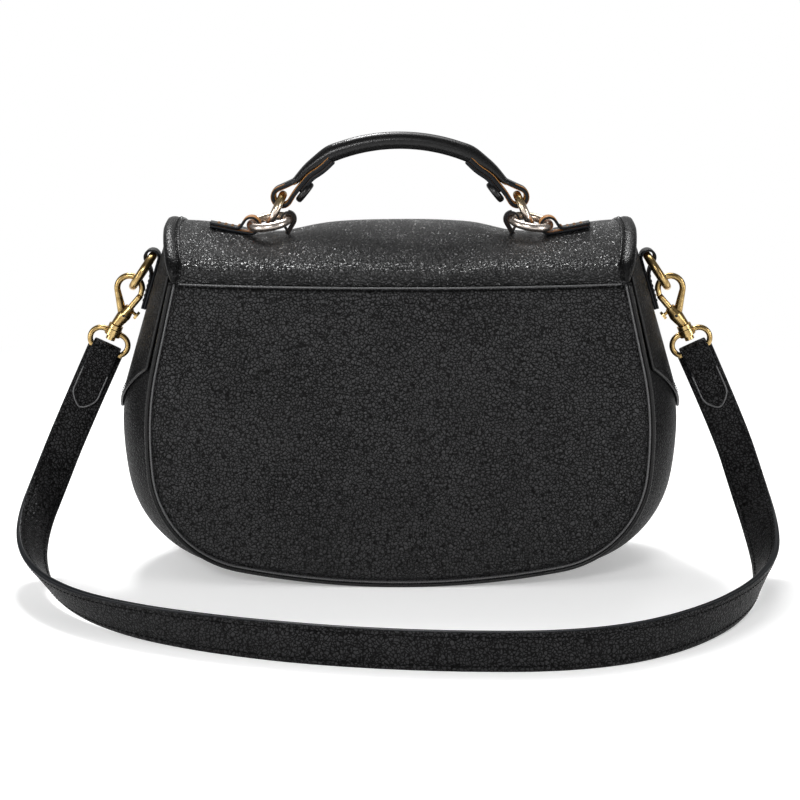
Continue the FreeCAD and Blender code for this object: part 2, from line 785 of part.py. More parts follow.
def make_swivel_eye(top, axis):
    """D-shaped eye that turns on the stem and carries the strap's end."""
    across = Vector(axis.z, 0, -axis.x)
    boss = Part.makeCylinder(boss_radius, boss_length, top - axis * boss_length, axis)
    boss = boss.cut(Part.makeCylinder(stem_radius + bolt_play, boss_length, top - axis * boss_length, axis))
    middle = top - axis * (boss_length / 2)
    bar = middle - axis * eye_height
    pieces = [boss, rod(bar - across * eye_bar_half, bar + across * eye_bar_half, eye_wire)]
    for side in (-1, 1):
        low = bar + across * side * eye_bar_half
        wide = bar + across * side * eye_half_width + axis * (eye_height * eye_waist_share)
        high = middle + across * side * (boss_radius - eye_wire / 2)
        bow = arc(low, wide, high)
        profile = Part.Wire(Part.makeCircle(eye_wire, low, bow.tangentAt(bow.FirstParameter)))
        pieces.append(Part.Wire(bow).makePipeShell([profile], True, False))
        pieces.append(Part.makeSphere(eye_wire, low))
    eye = pieces[0].multiFuse(pieces[1:])
    drill = Part.makeCylinder(stem_radius + bolt_play, boss_length + 2 * overrun, bar, axis)
    keep = rod(bar, bar + axis * (eye_height / 2), rivet_radius)
    save_pair("swivel_eye", eye.cut(drill.cut(keep)))
    make_strap_end(bar, -axis)
    return bar


def make_strap_end(bar, down):
    """Narrowed end of the strap, folded over the eye's bar, with a pointed stitched tail."""
    face = -Y
    inner = eye_wire + metal_gap
    outer = inner + strap_end_leather
    strap_face = strap_thickness - outer
    put = lambda run, out: bar + down * run + face * out
    rim = arc(put(0, outer), put(-outer, 0), put(0, -outer))
    hollow = arc(put(0, -inner), put(-inner, 0), put(0, inner))
    seat = strap_face + sewn_gap
    stop = strap_start - sewn_gap
    top = seat + strap_end_leather
    corners = [put(0, -outer), put(stop, -outer), put(stop, -inner), put(0, -inner)]
    tail = [put(0, inner), put(strap_fold_run, seat), put(strap_tail_length, seat),
            put(strap_tail_length, top), put(strap_fold_run, top), put(0, outer)]
    edges = [rim] + [line(a, b) for a, b in zip(corners, corners[1:])]
    edges += [hollow] + [line(a, b) for a, b in zip(tail, tail[1:])]
    across = unit(down.cross(face))
    fold = Part.Face(Part.Wire(edges))
    fold.translate(across * (-strap_end_width / 2))
    strip = fold.extrude(across * strap_end_width)
    half = strap_end_width / 2
    shoulder = strap_tail_length - strap_tail_point
    beyond = strap_tail_length + overrun
    tip = [(-half, shoulder), (0, strap_tail_length), (half, shoulder), (half, beyond), (-half, beyond)]
    cut = [bar + across * a + down * d + face * (-2 * outer) for a, d in tip]
    strip = strip.cut(Part.Face(Part.makePolygon(cut + cut[:1])).extrude(face * (4 * outer)))
    save_pair("strap_end", strip)


def strap_points(bar):
    """The route from one eye's bar to the other, straight under the folded ends."""
    behind = Y * (eye_wire + metal_gap + strap_end_leather - strap_thickness / 2)
    down = polar(270 - swivel_lean)
    ends = [bar + behind, bar + behind + down * strap_first_run]
    return ends + [Vector(*p) for p in strap_route] + mirrored(ends)


def strap_stations(points):
    """Stations along the strap: straight runs, tangent arcs between them, and the edge's way."""
    ways = [Vector(*w) for w in strap_edge_way]
    runs = [(b - a).Length for a, b in zip(points, points[1:])]
    way = unit(points[1] - points[0])
    stations = [(points[0] + way * strap_start, way, ways[0], 0)]
    radii = []
    for i in range(1, len(points) - 1):
        before = unit(points[i] - points[i - 1])
        after = unit(points[i + 1] - points[i])
        turn = before.getAngle(after)
        cut = strap_bend_share * min(runs[i - 1], runs[i])
        radius = cut / math.tan(turn / 2)
        radii.append(radius)
        inward = unit(after - before)
        centre = points[i] + inward * (radius / math.cos(turn / 2))
        steps = max(2, math.ceil(math.degrees(turn) / strap_arc_step))
        for step in range(steps + 1):
            lean = (2 * step - steps) / (2 * steps)
            angle = turn * lean
            chord = unit(before + after)
            spot = centre - inward * radius * math.cos(angle) + chord * radius * math.sin(angle)
            along = chord * math.cos(angle) + inward * math.sin(angle)
            other = ways[i + 1] if lean > 0 else ways[i - 1]
            stations.append((spot, along, ways[i] + (other - ways[i]) * abs(lean), i))
    way = unit(points[-1] - points[-2])
    stations.append((points[-1] - way * strap_start, way, ways[-1], len(points) - 1))
    print("strap bend radii", [round(r) for r in radii])
    return stations


def make_strap(points):
    """Two-ply strap in three stretches: a drop on each side and the run along the floor."""
    wires = []
    length = 0
    stations = strap_stations(points)
    for spot, along, way, _ in stations:
        edge = unit(way - along * way.dot(along)) * (strap_width / 2)
        thick = unit(along.cross(edge)) * (strap_thickness / 2)
        corners = [spot + edge + thick, spot + edge - thick, spot - edge - thick, spot - edge + thick]
        wires.append(Part.makePolygon(corners + corners[:1]))
    index = [s[3] for s in stations]
    left_end = index.index(strap_drop_points + 1)
    right_end = index.index(len(points) - strap_drop_points - 1)
    cuts = [("strap_drop_left", 0, left_end), ("strap_floor_run", left_end, right_end),
            ("strap_drop_right", right_end, len(stations) - 1)]
    for name, first, last in cuts:
        solid = Part.makeLoft(wires[first:last + 1], True, True)
        run = sum((b[0] - a[0]).Length for a, b in zip(stations[first:last], stations[first + 1:last + 1]))
        length += run
        expected = run * strap_width * strap_thickness
        print(name, "volume", round(solid.Volume), "from section", round(expected))
        save(name, solid)
    print("strap length", round(length + 2 * strap_start))


make_body()
make_flap()
make_handle(make_handle_rings())
eye_bar = make_snap_hook(make_side_ring())
make_strap(strap_points(eye_bar))
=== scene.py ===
"""Looks of the saddle handbag: black pebbled leather, painted edges, thread and antique brass."""
import math

import bmesh
import bpy
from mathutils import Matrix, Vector, noise


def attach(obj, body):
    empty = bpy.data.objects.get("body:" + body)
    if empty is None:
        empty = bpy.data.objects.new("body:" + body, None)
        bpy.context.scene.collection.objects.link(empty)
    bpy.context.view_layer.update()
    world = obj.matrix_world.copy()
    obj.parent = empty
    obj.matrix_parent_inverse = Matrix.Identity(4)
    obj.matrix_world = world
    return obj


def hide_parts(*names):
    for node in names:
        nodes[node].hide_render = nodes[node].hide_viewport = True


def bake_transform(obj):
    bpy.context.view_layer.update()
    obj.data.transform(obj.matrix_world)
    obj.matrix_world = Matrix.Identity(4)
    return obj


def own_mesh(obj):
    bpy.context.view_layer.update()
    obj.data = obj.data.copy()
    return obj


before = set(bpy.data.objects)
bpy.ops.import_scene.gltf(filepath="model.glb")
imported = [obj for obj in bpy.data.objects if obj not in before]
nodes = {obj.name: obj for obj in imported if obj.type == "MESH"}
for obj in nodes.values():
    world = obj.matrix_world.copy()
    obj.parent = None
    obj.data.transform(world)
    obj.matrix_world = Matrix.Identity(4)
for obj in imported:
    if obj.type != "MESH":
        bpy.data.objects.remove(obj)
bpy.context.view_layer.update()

SIDES = (("left", -1), ("right", 1))
DEEP = Vector((0, 1, 0))
BACKWARD = Vector((0, -1, 0))
TINY = 1e-9

# Sizes in millimetres, the same as the solids have; MM turns them into metres.
MM = 0.001
HALF_DEPTH = 44.0
LEATHER = 1.4
SEWN_GAP = 0.1
METAL_GAP = 0.25
PIPING_RADIUS = 1.6
PIPING_LIFT = 0.1
POCKET_TOP = 143.0
MOUTH_DROP = 4.0
WIDEST_HEIGHT = 72.0
PANEL_INSET = PIPING_RADIUS + SEWN_GAP
PIPING_PLANE = HALF_DEPTH + SEWN_GAP + PIPING_RADIUS
PANEL_FACE = HALF_DEPTH + LEATHER
POCKET_FACE = PANEL_FACE + SEWN_GAP + LEATHER

# Half width, bottom, side radius, side lean, low radius, corner radius and bottom radius of an outline
SEAM = (117.0, PIPING_RADIUS + PIPING_LIFT, 150.0, 13.0, 205.0, 50.0, 390.0)
BULGE = (133.7, -1.2, 62.0, 16.8, 150.0, 52.0, 900.0)
BULGE_POWER = 2.2
GUSSET_WALL = 2.2
LINING_CLOTH = 0.8

# Flap
FLAP_LEATHER = 2.0
FLAP_RIDGE = 167.7
FLAP_SAG = 6.1
FLAP_SAG_SPAN = 62.0
FLAP_SAG_REACH = 22.0
FLAP_CORNER_RADIUS = 14.0
FLAP_EDGE_HALF_WIDTH = 110.5
FLAP_EDGE_HEIGHT = 166.0
FLAP_FRONT = (107.0, 52.0, 150.0, 7.0, 150.0, 42.0, 300.0)
FLAP_FRONT_WIDEST = 112.0
BINDING_LEATHER = 0.9
FLAP_SEAM = POCKET_TOP + SEWN_GAP
FLAP_BACK_FACE = POCKET_FACE
SOFT_GAP = 0.4
SEAM_RISE_MIDDLE = 0.8
SEAM_RISE_END = 2.8
SEAM_RISE_REACH = 30.0
FLAP_FRONT_FACE = PIPING_PLANE + PIPING_RADIUS + SOFT_GAP + LINING_CLOTH + SEWN_GAP + FLAP_LEATHER
UNDER_FLAP = FLAP_LEATHER + SEWN_GAP + LINING_CLOTH + SOFT_GAP


# Materials
def linear(code):
    """Linear colour from an sRGB hex value."""
    parts = [int(code[i:i + 2], 16) / 255 for i in (1, 3, 5)]
    return [p / 12.92 if p <= 0.04045 else ((p + 0.055) / 1.055) ** 2.4 for p in parts] + [1.0]


def join(tree, node, links=(), values=None):
    """Set inputs of a node and link others; a link is (input, from node, output)."""
    for socket, value in (values or {}).items():
        node.inputs[socket].default_value = value
    for socket, source, output in links:
        tree.links.new(source.outputs[output], node.inputs[socket])
    return node


def add(tree, kind, links=(), values=None, **settings):
    """Add a node with its settings, the values of its inputs and its links."""
    node = tree.nodes.new(kind)
    for name, value in settings.items():
        setattr(node, name, value)
    return join(tree, node, links, values)


def new_material(name):
    """Empty material; returns the material, its tree, its principled shader and a node of places."""
    made = bpy.data.materials.new(name)
    made.use_nodes = True
    tree = made.node_tree
    return made, tree, tree.nodes["Principled BSDF"], add(tree, "ShaderNodeTexCoord")


def per_metre(size_mm):
    """Texture scale whose cell is about this many millimetres."""
    return 1 / (size_mm * MM)


def tinted(dark, light):
    """Values of a colour mix, from dark to light."""
    return {"A": linear(dark), "B": linear(light)}


def gloss_span(start, end):
    """Values of a roughness that follows a pattern."""
    return {"To Min": start, "To Max": end}


def surface(tint, gloss, bump):
    """Links of a shader's colour, roughness and relief."""
    return [("Base Color", tint, "Result"), ("Roughness", gloss, "Result"), ("Normal", bump, "Normal")]


# How widely the gloss of a hide changes, in millimetres
GLOSS_PATCH = 28.0
# Hair holes, drawn coarser than they are so that they show
HAIR_HOLES = 0.45
# How widely and how far the pebbles are pulled out of shape, as shares of a pebble
PULL_WIDTH_SHARE = 2.5
PULL_SHARE = 1.8


def leather(name, top, painted_crease_shade, cell_mm, depth_mm, rough, shine):
    """Drum-dyed hide: tight rounded pebbles, glossier on their tops; its colour has painted shade in the
    creases and painted glints of random strength on the tops.
    """
    made, tree, shader, place = new_material(name)
    here = [("Vector", place, "Object")]
    warp = add(tree, "ShaderNodeTexNoise", here, {"Scale": per_metre(cell_mm * PULL_WIDTH_SHARE)})
    bent = add(tree, "ShaderNodeVectorMath", [(0, warp, "Color")], {"Scale": cell_mm * MM * PULL_SHARE},
               operation="SCALE")
    spot = add(tree, "ShaderNodeVectorMath", [(0, place, "Object"), (1, bent, "Vector")], operation="ADD")
    pulled = [("Vector", spot, "Vector")]
    grain = {"Scale": per_metre(cell_mm)}
    cells = add(tree, "ShaderNodeTexVoronoi", pulled, grain, feature="DISTANCE_TO_EDGE")
    each = add(tree, "ShaderNodeTexVoronoi", pulled, grain)
    rise = add(tree, "ShaderNodeMapRange", [("Value", cells, "Distance")], {"From Max": 0.4})
    pebble = add(tree, "ShaderNodeMath", [(0, rise, "Result")], {1: 0.7}, operation="POWER")
    # Random brightness for each pebble: painted glints
    painted_glint = add(tree, "ShaderNodeMapRange", [("Value", each, "Color")], {"To Min": 0.7})
    crown = add(tree, "ShaderNodeMapRange", [("Value", rise, "Result")], {"From Min": 0.06, "From Max": 0.6},
                interpolation_type="SMOOTHSTEP")
    # Colour share: low in the creases, a painted shade, and high on the pebble tops, painted glints
    painted_glint_and_shade = add(tree, "ShaderNodeMath", [(0, crown, "Result"), (1, painted_glint, "Result")], operation="MULTIPLY")
    patchy = add(tree, "ShaderNodeTexNoise", here, {"Scale": per_metre(GLOSS_PATCH)})
    soft = add(tree, "ShaderNodeMapRange", [("Value", patchy, "Fac")],
               {"From Min": 0.35, "From Max": 0.65, "To Min": 0.6})
    fine = add(tree, "ShaderNodeTexNoise", here, {"Scale": per_metre(HAIR_HOLES)})
    lift = add(tree, "ShaderNodeMath", [(0, pebble, "Value"), (1, soft, "Result")], operation="MULTIPLY")
    height = add(tree, "ShaderNodeMath", [(0, fine, "Fac"), (2, lift, "Value")], {1: 0.18},
                 operation="MULTIPLY_ADD")
    bump = add(tree, "ShaderNodeBump", [("Height", height, "Value")], {"Distance": depth_mm * MM})
    # Dark creases and light tops: painted shade and painted glints in the base colour
    tint = add(tree, "ShaderNodeMix", [("Factor", painted_glint_and_shade, "Value")], tinted(painted_crease_shade, top), data_type="RGBA")
    gloss = add(tree, "ShaderNodeMapRange", [("Value", height, "Value")],
                gloss_span(rough + 0.14, rough - 0.06))
    join(tree, shader, surface(tint, gloss, bump), {"IOR": 1.5, "Specular IOR Level": shine})
    return made


# Antique wash in clouds, the brush marks and their depth, in millimetres
WASH_CLOUD = 2.6
BRUSH_MARKS = 0.3
BRUSH_DEPTH = 0.02
# Where the top rings are painted pale towards the front and the bottom, a painted reflection: a direction and
# how far along it
PALE_WAY = (0.0, -0.55, -0.83)
PALE_FROM = -146.0
PALE_TO = -136.0


def brass(name, bright, dark, rough, reflection_colour=None):
    """Brass with an antique wash: brushed, brown in the hollows; with a reflection colour, a painted
    reflection makes it pale towards the front and the bottom.
    """
    made, tree, shader, place = new_material(name)
    here = [("Vector", place, "Object")]
    cloud = add(tree, "ShaderNodeTexNoise", here, {"Scale": per_metre(WASH_CLOUD), "Detail": 5})
    grain = add(tree, "ShaderNodeTexNoise", here, {"Scale": per_metre(BRUSH_MARKS)})
    hollow = add(tree, "ShaderNodeNewGeometry")
    rub = add(tree, "ShaderNodeMapRange", [("Value", hollow, "Pointiness")],
              {"From Min": 0.42, "From Max": 0.56})
    blend = add(tree, "ShaderNodeMath", [(0, cloud, "Fac"), (1, rub, "Result")], operation="MULTIPLY",
                use_clamp=True)
    tone = add(tree, "ShaderNodeMapRange", [("Value", blend, "Value")], {"From Min": 0.12, "From Max": 0.5})
    tint = add(tree, "ShaderNodeMix", [("Factor", tone, "Result")], tinted(dark, bright), data_type="RGBA")
    gloss = add(tree, "ShaderNodeMapRange", [("Value", grain, "Fac")], gloss_span(rough - 0.08, rough + 0.12))
    bump = add(tree, "ShaderNodeBump", [("Height", grain, "Fac")],
               {"Strength": 0.15, "Distance": BRUSH_DEPTH * MM})
    # Paler towards the front and the bottom: a painted reflection
    if reflection_colour:
        where = add(tree, "ShaderNodeVectorMath", [(0, place, "Object")], {1: PALE_WAY},
                    operation="DOT_PRODUCT")
        painted_reflection = add(tree, "ShaderNodeMapRange", [("Value", where, "Value")],
                   {"From Min": PALE_FROM * MM, "From Max": PALE_TO * MM}, interpolation_type="SMOOTHSTEP")
        tint = add(tree, "ShaderNodeMix", [("Factor", painted_reflection, "Result"), ("A", tint, "Result")],
                   {"B": linear(reflection_colour)}, data_type="RGBA")
    join(tree, shader, surface(tint, gloss, bump), {"Metallic": 1.0})
    return made


WEAVE_DEPTH = 0.1
# Length of one wave of Blender's wave pattern at a scale of 1
WAVE_LENGTH = math.pi / 10


def woven(name, light, dark, thread_mm, rough):
    """Plain-woven cloth: two crossing wave patterns for the threads."""
    made, tree, shader, place = new_material(name)
    here = [("Vector", place, "Object")]
    size = {"Scale": per_metre(thread_mm) * WAVE_LENGTH}
    warp, weft = [add(tree, "ShaderNodeTexWave", here, size, bands_direction=way) for way in ("X", "Z")]
    cross = add(tree, "ShaderNodeMath", [(0, warp, "Fac"), (1, weft, "Fac")], operation="MULTIPLY")
    bump = add(tree, "ShaderNodeBump", [("Height", cross, "Value")],
               {"Strength": 0.5, "Distance": WEAVE_DEPTH * MM})
    tint = add(tree, "ShaderNodeMix", [("Factor", cross, "Value")], tinted(dark, light), data_type="RGBA")
    join(tree, shader, [("Base Color", tint, "Result"), ("Normal", bump, "Normal")], {"Roughness": rough})
    return made


MOTTLE_DEPTH = 0.05


def mottled(name, light, dark, size_mm, rough, metallic=0.0, shine=0.5):
    """Plain surface with a slight cloudy change of colour and gloss."""
    made, tree, shader, place = new_material(name)
    here = [("Vector", place, "Object")]
    cloud = add(tree, "ShaderNodeTexNoise", here, {"Scale": per_metre(size_mm)})
    tint = add(tree, "ShaderNodeMix", [("Factor", cloud, "Fac")], tinted(dark, light), data_type="RGBA")
    gloss = add(tree, "ShaderNodeMapRange", [("Value", cloud, "Fac")], gloss_span(rough - 0.08, rough + 0.08))
    bump = add(tree, "ShaderNodeBump", [("Height", cloud, "Fac")],
               {"Strength": 0.2, "Distance": MOTTLE_DEPTH * MM})
    join(tree, shader, surface(tint, gloss, bump), {"Metallic": metallic, "Specular IOR Level": shine})
    return made


# Each hide made by leather() has painted shade in its creases and painted glints on its pebble tops
# Cowhide with a tumbled pebble grain, for the panels: black, glossier on each pebble's top, with a painted
# glint on it
pebbled = leather("pebbled_cowhide", "#3d3d3e", "#010101", cell_mm=1.5, depth_mm=0.6, rough=0.26, shine=0.12)
# The same hide, waxed where hands touch it: the flap's pebbles sparkle, from their gloss and from glints
# painted into their colour
flap_leather = leather("flap_cowhide", "#343435", "#010101", cell_mm=1.5, depth_mm=0.62, rough=0.25,
                       shine=0.34)
# Softer hide for the gusset and its patches: flatter pebbles, nearly matt, and darker than the panels' hide,
# a painted shade
side_hide_painted_shade = leather("gusset_cowhide_painted_shade", "#242425", "#010101", cell_mm=1.5, depth_mm=0.4, rough=0.4, shine=0.06)
# Hide stretched over a cord, for piping and rims: the grain is pulled nearly smooth
smooth_edge = leather("folded_cowhide", "#1a1a1b", "#0a0a0a", cell_mm=1.1, depth_mm=0.05, rough=0.24,
                      shine=0.25)
# Folded edges with a pale grey line: the pale colour is a painted highlight, and the gloss is high
painted_highlight_hide = leather("highlight_painted_cowhide", "#4c4c4d", "#3a3a3b", cell_mm=1.1, depth_mm=0.03, rough=0.22,
                    shine=0.8)
# Thin hide folded round the flap's edge: dark, with a narrow gleam
binding_hide = leather("binding_cowhide", "#181819", "#060606", cell_mm=1.3, depth_mm=0.12, rough=0.22,
                       shine=0.12)
# Smooth hide of the grip and tabs: long clear highlights
trim = leather("smooth_cowhide", "#1a1a1b", "#070707", cell_mm=1.2, depth_mm=0.03, rough=0.25, shine=0.32)
# Pebbled hide pressed flat in the strap: dull, with a fine grain
strap_hide = leather("strap_cowhide", "#303031", "#010101", cell_mm=1.5, depth_mm=0.45, rough=0.32,
                     shine=0.07)
# Raw inner face of vegetable-tanned hide: warm tan and matt
flesh_side = mottled("tan_flesh_side", "#b67f3c", "#85531f", size_mm=0.8, rough=0.55)
# Edge paint: blue-black with a faint gleam
painted_edge = mottled("painted_leather_edge", "#14171c", "#090a0c", size_mm=1.5, rough=0.4, shine=0.2)
# Raw inner face, darker than the tan one: dark brown and matt
brown_flesh = mottled("dark_flesh_side", "#4a3420", "#2c1d10", size_mm=0.8, rough=0.55)
# Waxed thread, black in the leather's own colour and tan on the tabs
thread = mottled("waxed_black_thread", "#0b0b0c", "#030303", size_mm=0.5, rough=0.6, shine=0.06)
tan_thread = mottled("waxed_tan_thread", "#b07a34", "#70471b", size_mm=0.5, rough=0.5)
# Cast brass, washed brown and brushed back: yellow on its high parts
antique = brass("antique_brass", "#d2b57c", "#7d6236", rough=0.27)
# The same brass, lighter, and pale towards the front and the bottom of the rings: a painted reflection
painted_reflection_brass = brass("antique_brass_painted_reflection", "#dcc08a", "#a08553", rough=0.27, reflection_colour="#f0e3d8")
# Cotton lining: dull brown
cloth = woven("lining_twill", "#3a322b", "#241e19", thread_mm=0.9, rough=0.85)
# Zinc-plated steel of the springs and hidden plates: grey and slightly cloudy
steel = mottled("zinc_plated_steel", "#b8babd", "#8d9094", size_mm=1.2, rough=0.35, metallic=1.0)
# Twisted cotton inside the grip: pale and matt
cord_core = woven("twisted_cotton_cord", "#b3a890", "#7f745d", thread_mm=1.2, rough=0.9)
# Lacquered metal of the studs and pins: satin black
stud_lacquer = mottled("black_lacquered_metal", "#121213", "#080809", size_mm=2.0, rough=0.34)

# Softening of cut edges: bevel of a sheet, the turn that counts as an edge, and the same for cloth
EDGE_ROUND = 0.4
EDGE_TURN = 35.0
CLOTH_ROUND = 0.2


def put(name, data):
    """Object for a mesh, lamp or camera, in the scene."""
    made = bpy.data.objects.new(name, data)
    bpy.context.scene.collection.objects.link(made)
    return made


def piece(name, points, faces, material, body, replaced=()):
    """Mesh piece from points in millimetres; without a body it is attached to none."""
    mesh = bpy.data.meshes.new(name)
    mesh.from_pydata([Vector(p) * MM for p in points], [], faces)
    mesh.polygons.foreach_set("use_smooth", [True] * len(mesh.polygons))
    for m in material if isinstance(material, (list, tuple)) else [material]:
        mesh.materials.append(m)
    made = put(name, mesh)
    if body:
        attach(made, body)
    if replaced:
        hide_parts(*replaced)
    return made


def thicken(made, thickness_mm, offset=-1.0, round_mm=EDGE_ROUND):
    """Give a sheet its thickness and soften its cut edges."""
    solid = made.modifiers.new("hide", "SOLIDIFY")
    solid.thickness = thickness_mm * MM
    solid.offset = offset
    edge = made.modifiers.new("edge", "BEVEL")
    edge.width = round_mm * MM
    edge.segments = 2
    edge.angle_limit = math.radians(EDGE_TURN)
    return made


def grid_faces(rows, columns, closed=False):
    """Quads of a grid whose points are listed row by row; a closed one joins its last column to its first."""
    faces = []
    for i in range(rows - 1):
        low, high = i * columns, (i + 1) * columns
        for j in range(columns if closed else columns - 1):
            k = (j + 1) % columns
            faces.append((low + j, low + k, high + k, high + j))
    return faces


def tube_faces(rows, columns):
    """Faces of a tube: its wall and a cap at each end."""
    last = (rows - 1) * columns
    caps = [tuple(range(columns)), tuple(reversed(range(last, last + columns)))]
    return grid_faces(rows, columns, True) + caps


def flipped(faces):
    """The same faces, turned over."""
    return [tuple(reversed(f)) for f in faces]


# Lines and outlines
CUT_SHARE = 0.45
CUT_STEPS = 8
ARC_STEPS = 24
ARCH_STEPS = 40


def mix(low, high, share):
    """Value part of the way from one to the other."""
    return low + (high - low) * share


def unit(value):
    """The value, kept between 0 and 1."""
    return min(1.0, max(0.0, value))


def distances(points):
    """Distance along a line at each of its points."""
    far = [0.0]
    for a, b in zip(points, points[1:]):
        far.append(far[-1] + (b - a).length)
    return far


def even(points, count):
    """The same open line with evenly spaced points."""
    far = distances(points)
    made = []
    k = 0
    for i in range(count):
        want = far[-1] * i / (count - 1)
        while k < len(points) - 2 and far[k + 1] < want:
            k += 1
        run = max(far[k + 1] - far[k], TINY)
        made.append(points[k].lerp(points[k + 1], min(1.0, (want - far[k]) / run)))
    return made


def softened(points):
    """The same line with a rounded bend at each corner."""
    made = [points[0]]
    for a, b, c in zip(points, points[1:], points[2:]):
        cut = CUT_SHARE * min((b - a).length, (c - b).length)
        first = b + (a - b).normalized() * cut
        last = b + (c - b).normalized() * cut
        shares = [i / CUT_STEPS for i in range(CUT_STEPS + 1)]
        made += [first.lerp(b, s).lerp(b.lerp(last, s), s) for s in shares]
    return made + [points[-1]]


def plane_way(angle):
    """Unit vector in an (across, up) plane, the angle in degrees."""
    return Vector((math.cos(math.radians(angle)), math.sin(math.radians(angle))))


def turn_points(centre, radius, start, end):
    """Points on an arc in an (across, up) plane, angles in degrees."""
    return [centre + plane_way(mix(start, end, i / ARC_STEPS)) * radius for i in range(ARC_STEPS + 1)]


def angle_of(way):
    """Angle of a plane vector, in degrees."""
    return math.degrees(math.atan2(way.y, way.x))


def d_outline(sizes, widest, inset, top, count):
    """Open D-shaped outline as (across, up) points, from the right top round to the left top."""
    half_width, bottom, side_r, lean, low_r, corner_r, bottom_r = sizes
    side_c = Vector((half_width - side_r, widest))
    low_c = Vector((half_width - low_r, widest))
    bottom_c = Vector((0, bottom + bottom_r))
    gap = bottom_c - low_c
    r1 = low_r - corner_r
    r2 = bottom_r - corner_r
    along = (gap.length ** 2 + r1 ** 2 - r2 ** 2) / (2 * gap.length)
    high = math.sqrt(r1 ** 2 - along ** 2)
    e = gap.normalized()
    meets = [low_c + e * along + Vector((-e.y, e.x)) * s * high for s in (-1, 1)]
    corner_c = max(meets, key=lambda p: p.x)
    low_angle = angle_of(corner_c - low_c)
    foot_angle = angle_of(corner_c - bottom_c)
    shoulder = side_c + plane_way(lean) * (side_r - inset)
    rise = (top - shoulder.y) / math.cos(math.radians(lean))
    half = [shoulder + plane_way(lean + 90) * rise]
    half += turn_points(side_c, side_r - inset, lean, 0)
    half += turn_points(low_c, low_r - inset, 0, low_angle)
    half += turn_points(corner_c, corner_r - inset, low_angle, foot_angle)
    half += turn_points(bottom_c, bottom_r - inset, foot_angle, -90)
    whole = half + [Vector((-p.x, p.y)) for p in reversed(half[:-1])]
    return even(whole, count)


def body_sizes(y):
    """Outline sizes of the gusset at one depth, fuller towards the middle."""
    share = 1 - abs(y / HALF_DEPTH) ** BULGE_POWER
    low = list(SEAM)
    low[1] += PANEL_INSET
    for i in (0, 2, 4, 5, 6):
        low[i] -= PANEL_INSET
    return [mix(a, b, share) for a, b in zip(low, BULGE)]


def ridge(x):
    """Height of the flap's top: it sags where the handle pulls on the base rings."""
    return FLAP_RIDGE - FLAP_SAG * math.exp(-((abs(x) - FLAP_SAG_SPAN) / FLAP_SAG_REACH) ** 2)


def arch(x, offset, count=ARCH_STEPS):
    """(deep, up) points over the flap's arch at one station, from the back seam to the front."""
    half = (FLAP_BACK_FACE + FLAP_FRONT_FACE) / 2
    middle = (FLAP_FRONT_FACE - FLAP_BACK_FACE) / 2
    rise = ridge(x) - FLAP_SEAM
    r = FLAP_CORNER_RADIUS
    top_r = (half ** 2 + rise ** 2 - 2 * half * r) / (2 * (rise - r))
    top_c = Vector((middle, ridge(x) - top_r))
    front_c = Vector((middle + half - r, FLAP_SEAM))
    back_c = Vector((middle - half + r, FLAP_SEAM))
    lean = angle_of(front_c - top_c)
    points = turn_points(back_c, r + offset, 180, 180 - lean)
    points += turn_points(top_c, top_r + offset, 180 - lean, lean)[1:]
    points += turn_points(front_c, r + offset, lean, 0)[1:]
    return even(points, count)


def arch_height(y, offset, x):
    """Height of the arch above one depth."""
    points = arch(x, offset)
    for a, b in zip(points, points[1:]):
        if a.x <= y <= b.x:
            return mix(a.y, b.y, (y - a.x) / max(b.x - a.x, TINY))
    return FLAP_SEAM


def seam_rise(x):
    """How far the flap's back seam is above the pocket's level, more towards its ends."""
    return mix(SEAM_RISE_MIDDLE, SEAM_RISE_END, (x / FLAP_EDGE_HALF_WIDTH) ** 2)


def slack(p, size_mm, high_mm):
    """Slow unevenness of soft leather, the same at each run."""
    return noise.noise(Vector(p) / size_mm) * high_mm


# Gusset: one shell that bulges between the seams
GUSSET_STATIONS = 41
GUSSET_ROUND = 161


def gusset_top(y):
    """Upper edge of the gusset, under the flap."""
    return arch_height(y, -UNDER_FLAP, FLAP_SAG_SPAN)


def make_gusset():
    """Shell lofted through the outlines at each depth."""
    points = []
    for i in range(GUSSET_STATIONS):
        y = mix(-HALF_DEPTH, HALF_DEPTH, i / (GUSSET_STATIONS - 1))
        for p in d_outline(body_sizes(y), WIDEST_HEIGHT, 0.0, gusset_top(y), GUSSET_ROUND):
            points.append((p.x, y, max(p.y, SEWN_GAP)))
    faces = grid_faces(GUSSET_STATIONS, GUSSET_ROUND)
    made = piece("gusset_leather", points, faces, side_hide_painted_shade, "bag", ["gusset"])
    thicken(made, GUSSET_WALL)


make_gusset()

# Panels: crowned sheets in rows from the mouth down, pulled in at the seam
PANEL_ROUND = 150
PANEL_COLUMNS = 81
EDGE_CROWDING = 1.6
POCKET_CROWN = 2.2
FRONT_CROWN = 0.6
GROOVE_DEPTH = 1.2
GROOVE_REACH = 1.5
PULL_REACH = 14.0
EDGE_SMOOTH = 20.0
PANEL_SLACK_WIDTH = 45.0
PANEL_SLACK = 0.5
SLACK_APART = 50
# Drop below the mouth and rise of the face: a folded edge, then the dip that its stitches pull
FOLD_PROFILE = (
    (0.0, -0.5), (0.2, -0.1), (0.5, 0.22), (0.9, 0.25), (1.2, 0.05), (1.5, -0.5), (1.9, -0.8), (2.4, -0.4),
    (2.9, 0.0))


def line_gap(spot, a, b):
    """Distance of a plane point from a piece of a line."""
    run = b - a
    share = unit((spot - a).dot(run) / max(run.length_squared, TINY))
    return (a + run * share - spot).length


